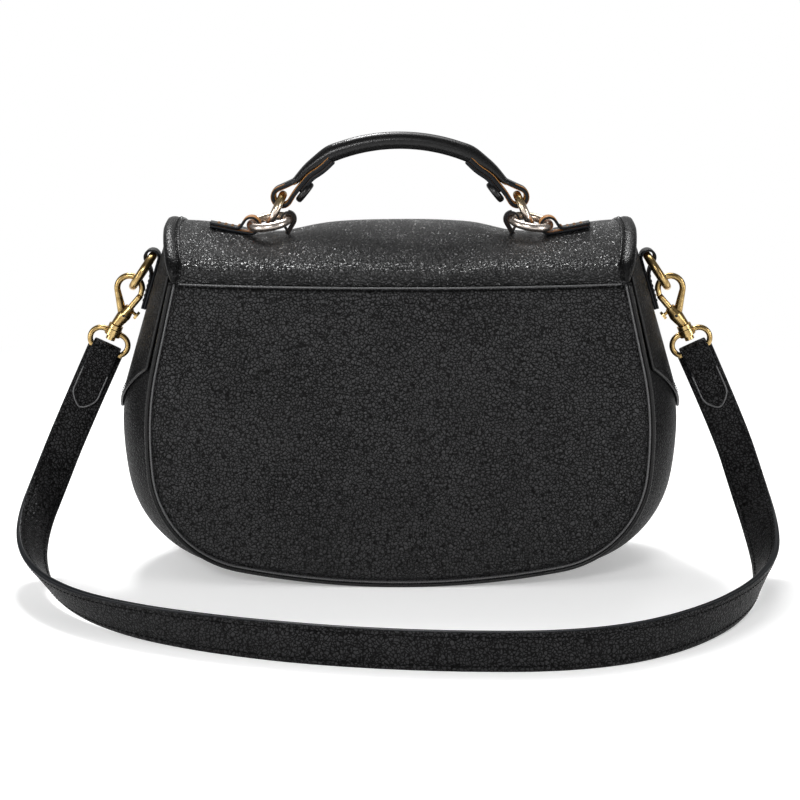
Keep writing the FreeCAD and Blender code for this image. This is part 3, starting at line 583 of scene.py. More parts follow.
def panel_depth(x, z, run, face, side, crown):
    """Depth of a panel's outer face above one place."""
    spot = Vector((x, z))
    near = min(range(len(run)), key=lambda i: (run[i] - spot).length_squared)
    ends = [run[max(near - 1, 0)], run[near], run[min(near + 1, len(run) - 1)]]
    edge_gap = min(line_gap(spot, a, b) for a, b in zip(ends, ends[1:]))
    swell = crown * (1 - math.exp(-edge_gap / PULL_REACH))
    swell -= GROOVE_DEPTH * math.exp(-(edge_gap / GROOVE_REACH) ** 2)
    loose = slack((x, side * SLACK_APART, z), PANEL_SLACK_WIDTH, PANEL_SLACK)
    swell += loose * min(1.0, edge_gap / EDGE_SMOOTH)
    return face + swell


def panel_point(end, share, run, face, side, crown, rise):
    """Point of a panel at a share of its row; the rows follow the back seam near it."""
    x = end.x * share
    lift = seam_rise(x) * max(0.0, 1 - (POCKET_TOP - end.y) / SEAM_RISE_REACH) if side < 0 else 0.0
    return Vector((x, side * (panel_depth(x, end.y, run, face, side, crown) + rise), end.y + lift))


def make_panel(name, face, side, top, crown, fold, replaced):
    """Panel on one side of the body, with a folded mouth edge where fold is 1."""
    run = d_outline(SEAM, WIDEST_HEIGHT, PANEL_INSET, top, PANEL_ROUND)
    half = run[:PANEL_ROUND // 2]
    slope = (half[1] - half[0]) / (half[0].y - half[1].y)
    ends = [(half[0] + slope * drop, rise * fold) for drop, rise in FOLD_PROFILE]
    ends += [(p, 0.0) for p in half[1:]]
    points = []
    shares = [2 * j / (PANEL_COLUMNS - 1) - 1 for j in range(PANEL_COLUMNS)]
    shares = [math.copysign(1 - (1 - abs(s)) ** EDGE_CROWDING, s) for s in shares]
    for end, rise in ends:
        points += [panel_point(end, s, run, face, side, crown, rise) for s in shares]
    faces = grid_faces(len(ends), PANEL_COLUMNS)
    faces = flipped(faces) if side < 0 else faces
    thicken(piece(name, points, faces, pebbled, "bag", replaced), LEATHER)
    return run


pocket_run = make_panel("pocket_panel_leather", POCKET_FACE, -1, POCKET_TOP, POCKET_CROWN, 1.0,
                        ["back_pocket_panel"])
make_panel("back_panel_leather", PANEL_FACE, -1, POCKET_TOP, 0.0, 0.0, ["back_panel"])
make_panel("front_panel_leather", PANEL_FACE, 1, POCKET_TOP - MOUTH_DROP, FRONT_CROWN, 1.0, ["front_panel"])


# Swept pieces: a section carried along a line
def sweep(name, path, across, out, section, material, body, replaced=(), shades=None, widths=None):
    """Closed form: each section point is (across, out) from the path; widths scale the first."""
    points = []
    for i, p in enumerate(path):
        w = widths[i] if widths else 1.0
        points += [p + across[i] * (a * w) + out[i] * b for a, b in section]
    made = piece(name, points, tube_faces(len(path), len(section)), material, body, replaced)
    if shades:
        made.data.polygons.foreach_set("material_index", shades * (len(path) - 1) + [1, 1])
    mesh = bmesh.new()
    mesh.from_mesh(made.data)
    bmesh.ops.recalc_face_normals(mesh, faces=mesh.faces)
    mesh.to_mesh(made.data)
    mesh.free()
    return made


def ways_along(path):
    """Tangent at each point of a path."""
    last = len(path) - 1
    return [(path[min(i + 1, last)] - path[max(i - 1, 0)]).normalized() for i in range(last + 1)]


def round_section(radius, count):
    """Circle as (across, out) points."""
    turns = [2 * math.pi * i / count for i in range(count)]
    return [(radius * math.cos(a), radius * math.sin(a)) for a in turns]


STRIP_CELLS = 8


def strip_section(width, thickness, rounding, crown):
    """Strap section: two faces and two edges with softened corners; also gives a shade for each face."""
    half = width / 2 - rounding
    thick = thickness / 2
    row = [half * (2 * i / STRIP_CELLS - 1) for i in range(STRIP_CELLS + 1)]
    lower = [(a, -thick - crown * (1 - (a / half) ** 2)) for a in row]
    upper = [(-a, thick + crown * (1 - (a / half) ** 2)) for a in row]
    side = [(width / 2, -thick + rounding), (width / 2, 0.0), (width / 2, thick - rounding)]
    section = lower + side + upper + [(-a, -b) for a, b in side]
    shades = [0] * STRIP_CELLS + [3, 1, 1, 4] + [2] * STRIP_CELLS + [4, 1, 1, 3]
    return section, shades


# Thread: each stitch is a short capsule that dips at its ends; shares of its run, its radius and its lift
STITCH_SHARES = ((0.0, 0.25, -0.7), (0.15, 0.9, 0.25), (0.5, 1.0, 0.55), (0.85, 0.9, 0.25), (1.0, 0.25, -0.7))
STITCH_SIDES = 5
# Pitch, run and radius of the stitches in each row
POCKET_STITCH = (2.7, 2.3, 0.38)
PATCH_STITCH = (2.7, 2.0, 0.22)
BINDING_STITCH = (2.6, 1.9, 0.24)
TOP_TAB_STITCH = (3.2, 1.6, 0.24)
SIDE_TAB_STITCH = (2.4, 1.6, 0.24)
STRAP_STITCH = (2.7, 2.0, 0.26)
TAIL_STITCH = (2.4, 1.7, 0.27)


def sew(name, line, normals, body, stitch, material=thread):
    """Row of stitches along a line of points with a face normal at each."""
    pitch, run, radius = stitch
    far = distances(line)
    count = max(1, int(far[-1] / pitch))
    wall = tube_faces(len(STITCH_SHARES), STITCH_SIDES)
    points = []
    faces = []

    def spot(want):
        """Place and normal at a distance along the line."""
        k = 0
        while k < len(far) - 2 and far[k + 1] < want:
            k += 1
        share = (want - far[k]) / max(far[k + 1] - far[k], TINY)
        return line[k].lerp(line[k + 1], share), normals[k].lerp(normals[k + 1], share).normalized()

    for n in range(count):
        begin = (n + 0.5) * far[-1] / count - run / 2
        faces += [tuple(len(points) + v for v in f) for f in wall]
        a, up = spot(max(0.0, begin))
        b, _ = spot(min(far[-1], begin + run))
        side = (b - a).normalized().cross(up).normalized()
        for along, thick, lift in STITCH_SHARES:
            middle = a.lerp(b, along) + up * (lift * radius)
            points += [middle + side * c + up * d for c, d in round_section(radius * thick, STITCH_SIDES)]
    return piece(name, points, faces, material, body)


# Piping: leather folded over a cord round the seam of each panel; a broad welt outside, a fine bead inside,
# pale with a painted highlight
PIPING_SECTION = (
    (0.15, 1.66), (-0.4, 1.52), (-0.75, 1.15), (-0.88, 0.68), (-0.74, 0.2), (-0.32, -0.14), (0.15, -0.32),
    (-0.4, -0.46), (-0.9, -0.7), (-1.08, -1.02), (-0.92, -1.32), (-0.45, -1.55), (0.0, -1.62), (0.9, -1.45),
    (1.35, -0.8), (1.5, 0.0), (1.35, 0.8), (0.9, 1.4))
PIPING_BEAD = range(7, 12)
PIPING_STEPS = 220


def make_piping(name, side, node):
    """Piping round one panel."""
    top = POCKET_TOP - BINDING_LEATHER + (SEAM_RISE_END if side < 0 else 0.0)
    run = d_outline(SEAM, WIDEST_HEIGHT, 0.0, top, PIPING_STEPS)
    path = [Vector((p.x, side * PIPING_PLANE, p.y)) for p in run]
    deep = [Vector((0, -side, 0))] * len(path)
    out = [Vector((w.z, 0, -w.x)) for w in ways_along(path)]
    out = [o * (1 if out[0].x > 0 else -1) for o in out]
    bead = [int(k in PIPING_BEAD) for k in range(len(PIPING_SECTION))]
    sweep(name, path, deep, out, PIPING_SECTION, [smooth_edge, painted_highlight_hide], "bag", [node],
          bead)


make_piping("back_piping_leather", -1, "back_piping")
make_piping("front_piping_leather", 1, "front_piping")

# Bead and topstitch of the pocket's folded edge: how far each lies below the mouth and inside the face
POCKET_BEAD = 0.45
POCKET_BEAD_SINK = 0.05
POCKET_STITCH_DROP = 1.8
POCKET_STITCH_SINK = 0.3
POCKET_STEPS = 120
BEAD_SIDES = 12


def pocket_line(drop, sink):
    """Line along the pocket's mouth."""
    line = []
    for i in range(1, POCKET_STEPS):
        p = pocket_run[-1].lerp(pocket_run[0], i / POCKET_STEPS)
        low = p.y - drop
        depth = panel_depth(p.x, low, pocket_run, POCKET_FACE, -1, POCKET_CROWN)
        line.append(Vector((p.x, sink - depth, low + seam_rise(p.x))))
    return line


def make_pocket_edge():
    """Folded edge of the pocket, pale with a painted highlight, and the thread under it."""
    fold = pocket_line(POCKET_BEAD, POCKET_BEAD_SINK)
    face = [BACKWARD] * len(fold)
    up = [Vector((0, 0, 1))] * len(fold)
    # Pale bead along the pocket's mouth: a painted highlight
    sweep("pocket_edge_fold", fold, face, up, round_section(POCKET_BEAD, BEAD_SIDES), painted_highlight_hide, "bag")
    sew("pocket_thread", pocket_line(POCKET_STITCH_DROP, POCKET_STITCH_SINK), face, "bag",
        POCKET_STITCH)


make_pocket_edge()

# Patches: a second layer on each end of the gusset, pointed below, with a folded rim and a row of stitches
PATCH_LEATHER = 1.2
PATCH_TIP = 78.0
PATCH_SHOULDER = 104.0
PATCH_EDGE = 38.0
PATCH_HEADROOM = 1.0
PATCH_COLUMNS = 33
PATCH_ROWS = 30
PATCH_RIM = 0.85
PATCH_STITCH_IN = 3.4
PATCH_STITCH_LIFT = 0.1
PATCH_STITCH_ENDS = 8
RIM_FROM_SHARE = 0.1
RIM_STEPS = 30
RIM_COUNT = 220
RIM_SIDES = 10
patch_places = [PATCH_EDGE * (2 * i / (PATCH_COLUMNS - 1) - 1) for i in range(PATCH_COLUMNS)]


def patch_run(y):
    """Right half of the gusset's outline at one depth."""
    top = gusset_top(y) + PATCH_HEADROOM
    return d_outline(body_sizes(y), WIDEST_HEIGHT, 0.0, top, GUSSET_ROUND)[:GUSSET_ROUND // 2]


patch_runs = {y: patch_run(y) for y in patch_places}


def patch_point(side, y, down, lift):
    """Point on a patch: depth, share of the way down to its lower edge, and lift above the gusset."""
    low = mix(PATCH_TIP, PATCH_SHOULDER, abs(y) / PATCH_EDGE)
    want = mix(gusset_top(y), low, down)
    run = patch_runs[y]
    for a, b in zip(run, run[1:]):
        if a.y >= want >= b.y:
            across = mix(a.x, b.x, (a.y - want) / max(a.y - b.y, TINY))
            return Vector((side * (across + lift), y, want))
    return Vector((side * (run[0].x + lift), y, want))


def make_patch(label, side):
    """Overlay on one end of the gusset."""
    points = []
    for y in patch_places:
        for j in range(PATCH_ROWS):
            points.append(patch_point(side, y, j / (PATCH_ROWS - 1), PATCH_LEATHER + SEWN_GAP))
    faces = grid_faces(PATCH_COLUMNS, PATCH_ROWS)
    faces = flipped(faces) if side < 0 else faces
    node = "gusset_patch_" + label
    made = piece(node + "_leather", points, faces, side_hide_painted_shade, "bag", [node])
    thicken(made, PATCH_LEATHER)


def make_patch_rim(label, side):
    """Rolled edge down the sides and round the point of one patch."""
    steps = [mix(RIM_FROM_SHARE, 1.0, i / RIM_STEPS) for i in range(RIM_STEPS + 1)]
    line = [patch_point(side, patch_places[0], d, PATCH_LEATHER) for d in steps]
    line += [patch_point(side, y, 1.0, PATCH_LEATHER) for y in patch_places[1:-1]]
    line += [patch_point(side, patch_places[-1], d, PATCH_LEATHER) for d in reversed(steps)]
    path = even(softened(line), RIM_COUNT)
    ways = ways_along(path)
    face = Vector((side, 0, 0))
    out = [(face - w * face.dot(w)).normalized() for w in ways]
    across = [w.cross(o) for w, o in zip(ways, out)]
    sweep("patch_rim_" + label, path, across, out, round_section(PATCH_RIM, RIM_SIDES), smooth_edge, "bag")
    sewn = slice(PATCH_STITCH_ENDS, -PATCH_STITCH_ENDS)
    inner = [p - a * (PATCH_STITCH_IN * side) + o * PATCH_STITCH_LIFT for p, a, o in zip(path, across, out)]
    sew("patch_thread_" + label, inner[sewn], out[sewn], "bag", PATCH_STITCH)


for label, side in SIDES:
    make_patch(label, side)
    make_patch_rim(label, side)

# Flap: one hide from the back seam over the top to the rounded front
FLAP_COLUMNS = 81
FLAP_ARCH_ROWS = 52
FLAP_DROP_ROWS = 18
FLAP_OUTLINE_STEPS = 400
FLAP_ROUND = 0.6
FLAP_LINING_IN = 2.5
# Slack of the flap: slow unevenness, and pulls that run out from each base ring
FLAP_SLACK_WIDTH = 38.0
FLAP_SLACK = 0.55
RUFFLE_PLACE = (58, -8)
RUFFLE_HEIGHT = 0.5
RUFFLE_REACH = 26
RUFFLE_HOLLOW = 14
RUFFLE_RAYS = 3.0
RUFFLE_TWIST = 4.5
RUFFLE_RISE = 8
RUFFLE_EDGE = 12
RUFFLE_LEAN = 0.35


def flap_grid(offset, inset):
    """Points of the flap row by row, from the back seam to the front edge."""
    outline = d_outline(FLAP_FRONT, FLAP_FRONT_WIDEST, inset, FLAP_SEAM, FLAP_OUTLINE_STEPS)
    seam_half = outline[0].x
    low = [p for p in outline if p.y <= FLAP_FRONT_WIDEST]
    shares = [math.sin(math.pi / 2 * (2 * j / (FLAP_COLUMNS - 1) - 1)) for j in range(FLAP_COLUMNS)]
    columns = []
    for c in shares:
        column = []
        for y, z in arch(c * FLAP_EDGE_HALF_WIDTH, offset, FLAP_ARCH_ROWS):
            rise = unit((z - FLAP_SEAM) / (FLAP_EDGE_HEIGHT - FLAP_SEAM))
            wide = mix(seam_half, FLAP_EDGE_HALF_WIDTH - inset, rise)
            lift = seam_rise(c * wide) * (1 - rise) if y < 0 else 0.0
            column.append(Vector((c * wide, y, z + lift)))
        end = min(low, key=lambda p: abs(p.x - c * low[0].x)).y
        _, deep, top = column[-1]
        for k in range(1, FLAP_DROP_ROWS + 1):
            z = mix(top, end, k / FLAP_DROP_ROWS)
            wide = mix(seam_half, low[0].x, min(1.0, (top - z) / (top - FLAP_FRONT_WIDEST)))
            column.append(Vector((c * wide, deep, z)))
        columns.append(column)
    return [list(row) for row in zip(*columns)]


def ruffled(p):
    """Height of the flap's slack at one place."""
    high = slack(p, FLAP_SLACK_WIDTH, FLAP_SLACK)
    for side in (-1, 1):
        gap = Vector((p.x - side * RUFFLE_PLACE[0], p.y - RUFFLE_PLACE[1]))
        near = math.exp(-(gap.length / RUFFLE_REACH) ** 2) * min(1.0, (gap.length / RUFFLE_HOLLOW) ** 2)
        wave = math.sin(RUFFLE_RAYS * math.atan2(gap.y, gap.x) + gap.length / RUFFLE_TWIST)
        high += near * RUFFLE_HEIGHT * wave
    return high


def slackened(p):
    """Point of the flap with its slack, which fades at the back seam and the side edges."""
    rise = unit((p.z - FLAP_SEAM) / RUFFLE_RISE) if p.y < 0 else 1.0
    edge = unit((FLAP_EDGE_HALF_WIDTH - abs(p.x)) / RUFFLE_EDGE)
    return p + Vector((0, math.copysign(RUFFLE_LEAN, p.y), 1)) * ruffled(p) * rise * edge


def bend_at_seam(made):
    """Turn the modifiers of a piece of the flap into its mesh and bake its placement into it."""
    shape = made.evaluated_get(bpy.context.evaluated_depsgraph_get())
    mesh = bpy.data.meshes.new_from_object(shape)
    made.modifiers.clear()
    made.data = mesh
    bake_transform(made)


def make_flap():
    """Flap leather, its lining and its bound edge."""
    rows = flap_grid(0.0, 0.0)
    faces = grid_faces(len(rows), FLAP_COLUMNS)
    hide = piece("flap_hide", [slackened(p) for row in rows for p in row], faces, flap_leather, None,
                 ["flap_leather"])
    bend_at_seam(thicken(hide, FLAP_LEATHER, -1.0, FLAP_ROUND))
    under = flap_grid(-FLAP_LEATHER - SEWN_GAP, FLAP_LINING_IN)
    back = piece("flap_lining_cloth", [p for row in under for p in row], faces, cloth, None,
                 ["flap_lining"])
    bend_at_seam(thicken(back, LINING_CLOTH, -1.0, CLOTH_ROUND))
    make_binding(rows)


# Binding: its section as (inward, out) points, and how it narrows where it is tucked in at the back seam
BINDING_SECTION = (
    (7.0, 0.1), (7.0, 0.75), (6.7, 1.05), (6.2, 1.0), (5.8, 0.72), (5.3, 0.62), (4.8, 0.8), (4.0, 1.25),
    (2.8, 1.6), (1.3, 1.55), (0.1, 1.1), (-0.45, 0.1), (-0.45, -1.2), (-0.1, -2.1), (1.2, -2.5), (2.2, -2.4),
    (2.2, -2.1), (0.0, -2.05), (-0.1, 0.1))
BINDING_TUCK_SHARE = 0.3
BINDING_TUCK_RUN = 9.0
BINDING_STITCH_IN = 5.3
BINDING_STITCH_LIFT = 1.2


def make_binding(rows):
    """Strip folded round the flap's edge, from the back seam round the front and back again."""
    last = len(rows) - 1
    wide = FLAP_COLUMNS - 1
    ring = [(i, wide) for i in range(last + 1)] + [(last, j) for j in range(wide - 1, -1, -1)]
    ring += [(i, 0) for i in range(last - 1, -1, -1)]
    path = [rows[i][j] for i, j in ring]
    ways = ways_along(path)
    normals = []
    for i, j in ring:
        up = rows[min(i + 1, last)][j] - rows[max(i - 1, 0)][j]
        right = rows[i][min(j + 1, wide)] - rows[i][max(j - 1, 0)]
        normals.append(right.cross(up).normalized())
    inward = [n.cross(w).normalized() for n, w in zip(normals, ways)]
    shares = [min(1.0, (p.z - FLAP_SEAM) / BINDING_TUCK_RUN) if p.y < 0 else 1.0 for p in path]
    widths = [mix(BINDING_TUCK_SHARE, 1.0, s) for s in shares]
    bend_at_seam(sweep("flap_binding_leather", path, inward, normals, BINDING_SECTION, binding_hide, None,
                       ["flap_binding"], None, widths))
    line = [p + i * (BINDING_STITCH_IN * w) + n * BINDING_STITCH_LIFT
            for p, i, n, w in zip(path, inward, normals, widths)]
    bend_at_seam(sew("flap_binding_thread", line, normals, None, BINDING_STITCH))


make_flap()

# Rings, where the leather loops need them
RING_WIRE = 1.95
SIDE_RING_RADIUS = 8.9
HANDLE_RING_RADIUS = 8.1
BASE_RING_RADIUS = 9.0
LINK = Vector((-60.3, 0.0, 170.011))
LINK_PLAY = 1.0
HANDLE_RING_LEAN = 25.0
BASE_RING_OFFSET = 1.5
BASE_RING_TIP = 9.0
BASE_RING_ROLL = 9.0
LOOP_STEPS = 14
LOOP_COUNT = 90


def polar(angle):
    """Unit vector in the XZ plane, the angle in degrees from +X towards +Z."""
    return Vector((math.cos(math.radians(angle)), 0, math.sin(math.radians(angle))))


def polar_angle(way):
    """Angle of a vector in the XZ plane, in degrees."""
    return math.degrees(math.atan2(way.z, way.x))


def turn_between(start, end):
    """Shortest turn from one angle to another, in degrees."""
    return (end - start + 180) % 360 - 180


def touch(point, centre, radius, turn):
    """Where a line from a point touches a circle in its XZ plane; turn picks the side."""
    gap = centre - point
    swing = math.degrees(math.asin(radius / gap.length))
    reach = math.sqrt(gap.length ** 2 - radius ** 2)
    return point + polar(polar_angle(gap) + turn * swing) * reach


def loop_path(there, centre, radius, back):
    """Line of a strip that runs to a wire, turns round it and comes back."""
    first = touch(there[-1], centre, radius, -1)
    last = touch(back[0], centre, radius, 1)
    far = (centre * 2 - first - last).normalized()
    a, middle, b = [polar_angle(w) for w in (first - centre, far, last - centre)]
    turns = [a + turn_between(a, middle) * i / LOOP_STEPS for i in range(LOOP_STEPS + 1)]
    turns += [middle + turn_between(middle, b) * i / LOOP_STEPS for i in range(1, LOOP_STEPS + 1)]
    bend = [centre + polar(t) * radius for t in turns]
    return even(softened(there + [first])[:-1] + bend + softened([last] + back)[1:], LOOP_COUNT)


def seat(point, way, radius, width, tilt=0.0):
    """Middle and extra radius of a loop that holds a strip's width of a round ring."""
    reach = math.sqrt(radius ** 2 - (width / 2) ** 2)
    spread = (radius - reach + RING_WIRE * (radius / reach - 1)) / 2
    return point - way * spread, spread + math.sin(math.radians(tilt)) * width / 2


def on_side(points, side):
    """The left side's points, mirrored for the right side."""
    return points if side < 0 else [Vector((-p.x, p.y, p.z)) for p in points]


def outward(line, side):
    """The way that the outer face of a strip looks at each point of its line."""
    return [w.cross(DEEP).normalized() * side for w in ways_along(line)]


def beside(line, step):
    """A left strip's line moved outwards by a step."""
    return [p + o * step for p, o in zip(line, outward(line, -1))]


# Strips of leather that loop round the rings: how full their faces are, and where they are stitched
STRIP_CROWN = 0.05
STRIP_STITCH_IN = 1.5
STRIP_STITCH_LIFT = 0.05


def make_strip(name, path, width, thickness, body, node, shades, rounding, sheen_shares=(0.0, 0.0),
               sheen_faces=(4,)):
    """Left and right strip of leather; over shares of its length its sheen faces take its first shade, tan, a
    painted sheen on the black loop.
    """
    section, faces = strip_section(width, thickness, rounding, STRIP_CROWN)
    columns = len(section)
    for label, side in SIDES:
        line = on_side(path, side)
        made = sweep(name + "_" + label, line, [DEEP] * len(line), outward(line, side), section, shades, body,
                     [n + "_" + label for n in node], faces)
        start, end = [int(share * len(line)) for share in sheen_shares]
        for i in range(start, end):
            for j in range(columns):
                if faces[j] in sheen_faces:
                    made.data.polygons[i * columns + j].material_index = 0


def sew_strip(name, path, sewn_shares, width, thickness, body, material, stitch):
    """Rows of stitches near both edges of a strip, over shares of its length."""
    first, last = [int(share * (len(path) - 1)) for share in sewn_shares]
    for label, side in SIDES:
        line = on_side(path, side)
        out = outward(line, side)[first:last]
        for edge in (-1, 1):
            across = DEEP * (edge * (width / 2 - STRIP_STITCH_IN))
            lift = thickness / 2 + STRIP_STITCH_LIFT
            row = [p + across + o * lift for p, o in zip(line[first:last], out)]
            row_name = "%s_%s_%d%d" % (name, label, first, edge + 1)
            sew(row_name, row, out, body, stitch, material)


# Inner face, painted edge, outer face and the two rims of each kind of strip
TAB_SHADES = [flesh_side, painted_edge, trim, flesh_side, painted_edge]
TOP_TAB_SHADES = [flesh_side, painted_edge, trim, painted_edge, painted_edge]
KEEPER_SHADES = [brown_flesh, painted_edge, trim, brown_flesh, painted_edge]
DARK_SHADES = [brown_flesh, painted_edge, trim, painted_edge, painted_edge]

# Tabs and keepers of the base rings
TOP_TAB_LEATHER = 1.3
TOP_TAB_WIDTH = 7.0
TOP_TAB_LENGTH = 19.4
TOP_TAB_PINCH = 5.6
TOP_TAB_ROUNDING = 0.2
# Outer face and rim of the loop's bend painted tan: a painted golden sheen
TOP_TAB_SHEEN_SHARES = (0.44, 0.66)
TOP_TAB_SHEEN_FACES = (2, 4)
TOP_TAB_SEWN_SHARES = (0.7, 0.97)
KEEPER_LEATHER = 0.9
KEEPER_WIDTH = 4.0
KEEPER_ROUNDING = 0.15
# The keeper's further plies lie on its half away from the handle ring
KEEPER_PLY = 0.6
KEEPER_PLY_ROUNDING = 0.2
KEEPER_PLY_SHARE = 0.5
wire_gap = 2 * RING_WIRE + LINK_PLAY
ring_way = polar(90 - HANDLE_RING_LEAN)
ring_bottom = LINK - ring_way * wire_gap
ring_top = ring_bottom + ring_way * (2 * HANDLE_RING_RADIUS)
inward = polar(BASE_RING_ROLL)
tip = math.radians(BASE_RING_TIP)
base_normal = inward.cross(Vector((0, math.cos(tip), math.sin(tip)))).normalized()
base_back = base_normal.cross(inward)
base_share = BASE_RING_OFFSET / BASE_RING_RADIUS
base_centre = LINK - (inward * base_share + base_back * math.sqrt(1 - base_share ** 2)) * BASE_RING_RADIUS


def make_top_tabs():
    """Tabs on the flap that hold the outer ends of the base rings, with rows of tan thread."""
    end = base_centre - inward * BASE_RING_RADIUS
    wire, spread = seat(end, -inward, BASE_RING_RADIUS, TOP_TAB_WIDTH, BASE_RING_TIP)
    radius = RING_WIRE + METAL_GAP + spread + TOP_TAB_LEATHER / 2
    lows = []
    for x in (wire.x - TOP_TAB_LENGTH, wire.x - TOP_TAB_PINCH):
        floor = arch_height(wire.y + TOP_TAB_WIDTH / 2, 0.0, x)
        lows.append(Vector((x, wire.y, floor + SEWN_GAP + TOP_TAB_LEATHER / 2)))
    highs = [p + Vector((0, 0, TOP_TAB_LEATHER + SEWN_GAP)) for p in reversed(lows)]
    path = loop_path(lows, wire, radius, highs)
    make_strip("top_tab_leather", path, TOP_TAB_WIDTH, TOP_TAB_LEATHER, "flap", ["top_tab"], TOP_TAB_SHADES,
               TOP_TAB_ROUNDING, TOP_TAB_SHEEN_SHARES, TOP_TAB_SHEEN_FACES)
    sew_strip("top_tab_thread", path, TOP_TAB_SEWN_SHARES, TOP_TAB_WIDTH, TOP_TAB_LEATHER, "flap", tan_thread,
              TOP_TAB_STITCH)


def make_keepers():
    """Loops that hold the inner ends of the base rings down."""
    end = base_centre + inward * BASE_RING_RADIUS
    wire, spread = seat(end, inward, BASE_RING_RADIUS, KEEPER_WIDTH, BASE_RING_TIP)
    radius = RING_WIRE + METAL_GAP + spread + KEEPER_LEATHER / 2
    half_gap = (KEEPER_LEATHER + SEWN_GAP) / 2
    floor = arch_height(wire.y + KEEPER_WIDTH / 2, 0.0, wire.x + half_gap) + KEEPER_LEATHER / 2
    feet = [Vector((wire.x + side * half_gap, wire.y, floor)) for side in (-1, 1)]
    path = loop_path(feet[:1], wire, radius, feet[1:])
    make_strip("ring_keeper_leather", path, KEEPER_WIDTH, KEEPER_LEATHER, "flap", ["ring_keeper"],
               KEEPER_SHADES, KEEPER_ROUNDING)
    last = int(KEEPER_PLY_SHARE * len(path))
    for name, side in (("keeper_outer_ply", 1), ("keeper_inner_ply", -1)):
        ply = beside(path, side * (KEEPER_LEATHER + KEEPER_PLY) / 2)[:last]
        make_strip(name, ply, KEEPER_WIDTH, KEEPER_PLY, "flap", [], KEEPER_SHADES, KEEPER_PLY_ROUNDING)


make_top_tabs()
make_keepers()

# Handle: a rolled grip with a lapped seam, a neck at each end that flattens, and a strap round each ring
GRIP_RADIUS = 4.1
GRIP_RISE = 36.0
GRIP_ARCH = 87.0
GRIP_HALF_SPAN = 33.0
GRIP_STATIONS = 12
GRIP_STEPS = 8
GRIP_SECTION = 48
LIP_TURN = 124.0
LIP_SPREAD = 11
LIP_HEIGHT = 0.42
HANDLE_STRAP = 2.4
HANDLE_STRAP_WIDTH = 8.6
HANDLE_STRAP_ROUNDING = 0.3
# Outer rim of the loop's bend painted tan: a painted golden sheen
HANDLE_STRAP_SHEEN_SHARES = (0.1, 0.55)
# Run and rise from the handle ring, thickness and width of the neck at each station; flat ones are squarer
NECK = ((4.4, 6.0, 2.6, 8.7), (6.2, 6.9, 3.4, 8.8), (11.5, 12.1, 4.9, 8.8), (16.9, 15.9, 6.6, 8.6))
NECK_SQUARE_POWER = 0.6
# Run and rise from the handle ring of the strap that goes there, and of the tail that comes back
STRAP_THERE = ((6.2, 6.9), (2.1, 4.9))
STRAP_BACK = ((5.4, 0.7), (12.6, 9.6), (18.0, 12.9), (22.5, 17.2))
# Second ply of the tail, under the stud
TAIL_PLY = 1.9
TAIL_PLY_IN = 0.4
TAIL_PLY_FROM_SHARE = 0.6
TAIL_PLY_ROUNDING = 0.25


def grip_point(x):
    """Point of the grip's middle line."""
    return Vector((x, 0, LINK.z + GRIP_RISE - GRIP_ARCH + math.sqrt(GRIP_ARCH ** 2 - x * x)))


def smooth_rows(rows, steps):
    """Smooth line through rows of numbers."""
    made = []
    last = len(rows) - 1
    for i in range(last):
        p0, p1, p2, p3 = (rows[min(max(k, 0), last)] for k in (i - 1, i, i + 1, i + 2))
        for k in range(steps):
            t = k / steps
            made.append([0.5 * (2 * b + (c - a) * t + (2 * a - 5 * b + 4 * c - d) * t * t
                                + (3 * b - a - 3 * c + d) * t ** 3) for a, b, c, d in zip(p0, p1, p2, p3)])
    return made + [list(rows[last])]


def grip_section(thick, wide, lip):
    """Section of the grip as (across, up) points, with the lip of its lap."""
    power = mix(1.0, NECK_SQUARE_POWER, unit(1 - thick / wide))
    section = []
    for k in range(GRIP_SECTION):
        turn = 2 * math.pi * k / GRIP_SECTION
        away = turn_between(LIP_TURN, math.degrees(turn))
        lift = 1 + lip * LIP_HEIGHT / GRIP_RADIUS * math.exp(-(away / LIP_SPREAD) ** 2)
        c, z = [math.copysign(abs(v) ** power, v) for v in (math.cos(turn), math.sin(turn))]
        section.append((c * wide / 2 * lift, z * thick / 2 * lift))
    return section


def make_grip():
    """Grip and necks in one sweep; the lap seam shows as a lip along the top."""
    rows = [[ring_top.x + x, ring_top.z + rise, thick, wide, 0.0] for x, rise, thick, wide in NECK]
    for i in range(GRIP_STATIONS + 1):
        p = grip_point(mix(-GRIP_HALF_SPAN, GRIP_HALF_SPAN, i / GRIP_STATIONS))
        rows.append([p.x, p.z, 2 * GRIP_RADIUS, 2 * GRIP_RADIUS, 1.0])
    rows += [[-x, z, thick, wide, lip] for x, z, thick, wide, lip in reversed(rows[:len(NECK)])]
    line = smooth_rows(rows, GRIP_STEPS)
    path = [Vector((r[0], 0, r[1])) for r in line]
    points = []
    for p, up, row in zip(path, outward(path, -1), line):
        points += [p + DEEP * a + up * b for a, b in grip_section(*row[2:])]
    made = piece("grip_leather", points, tube_faces(len(path), GRIP_SECTION), trim, "handle",
                 ["handle_grip"])
    if made.data.polygons[0].normal.dot(points[0] - path[0]) < 0:
        made.data.flip_normals()


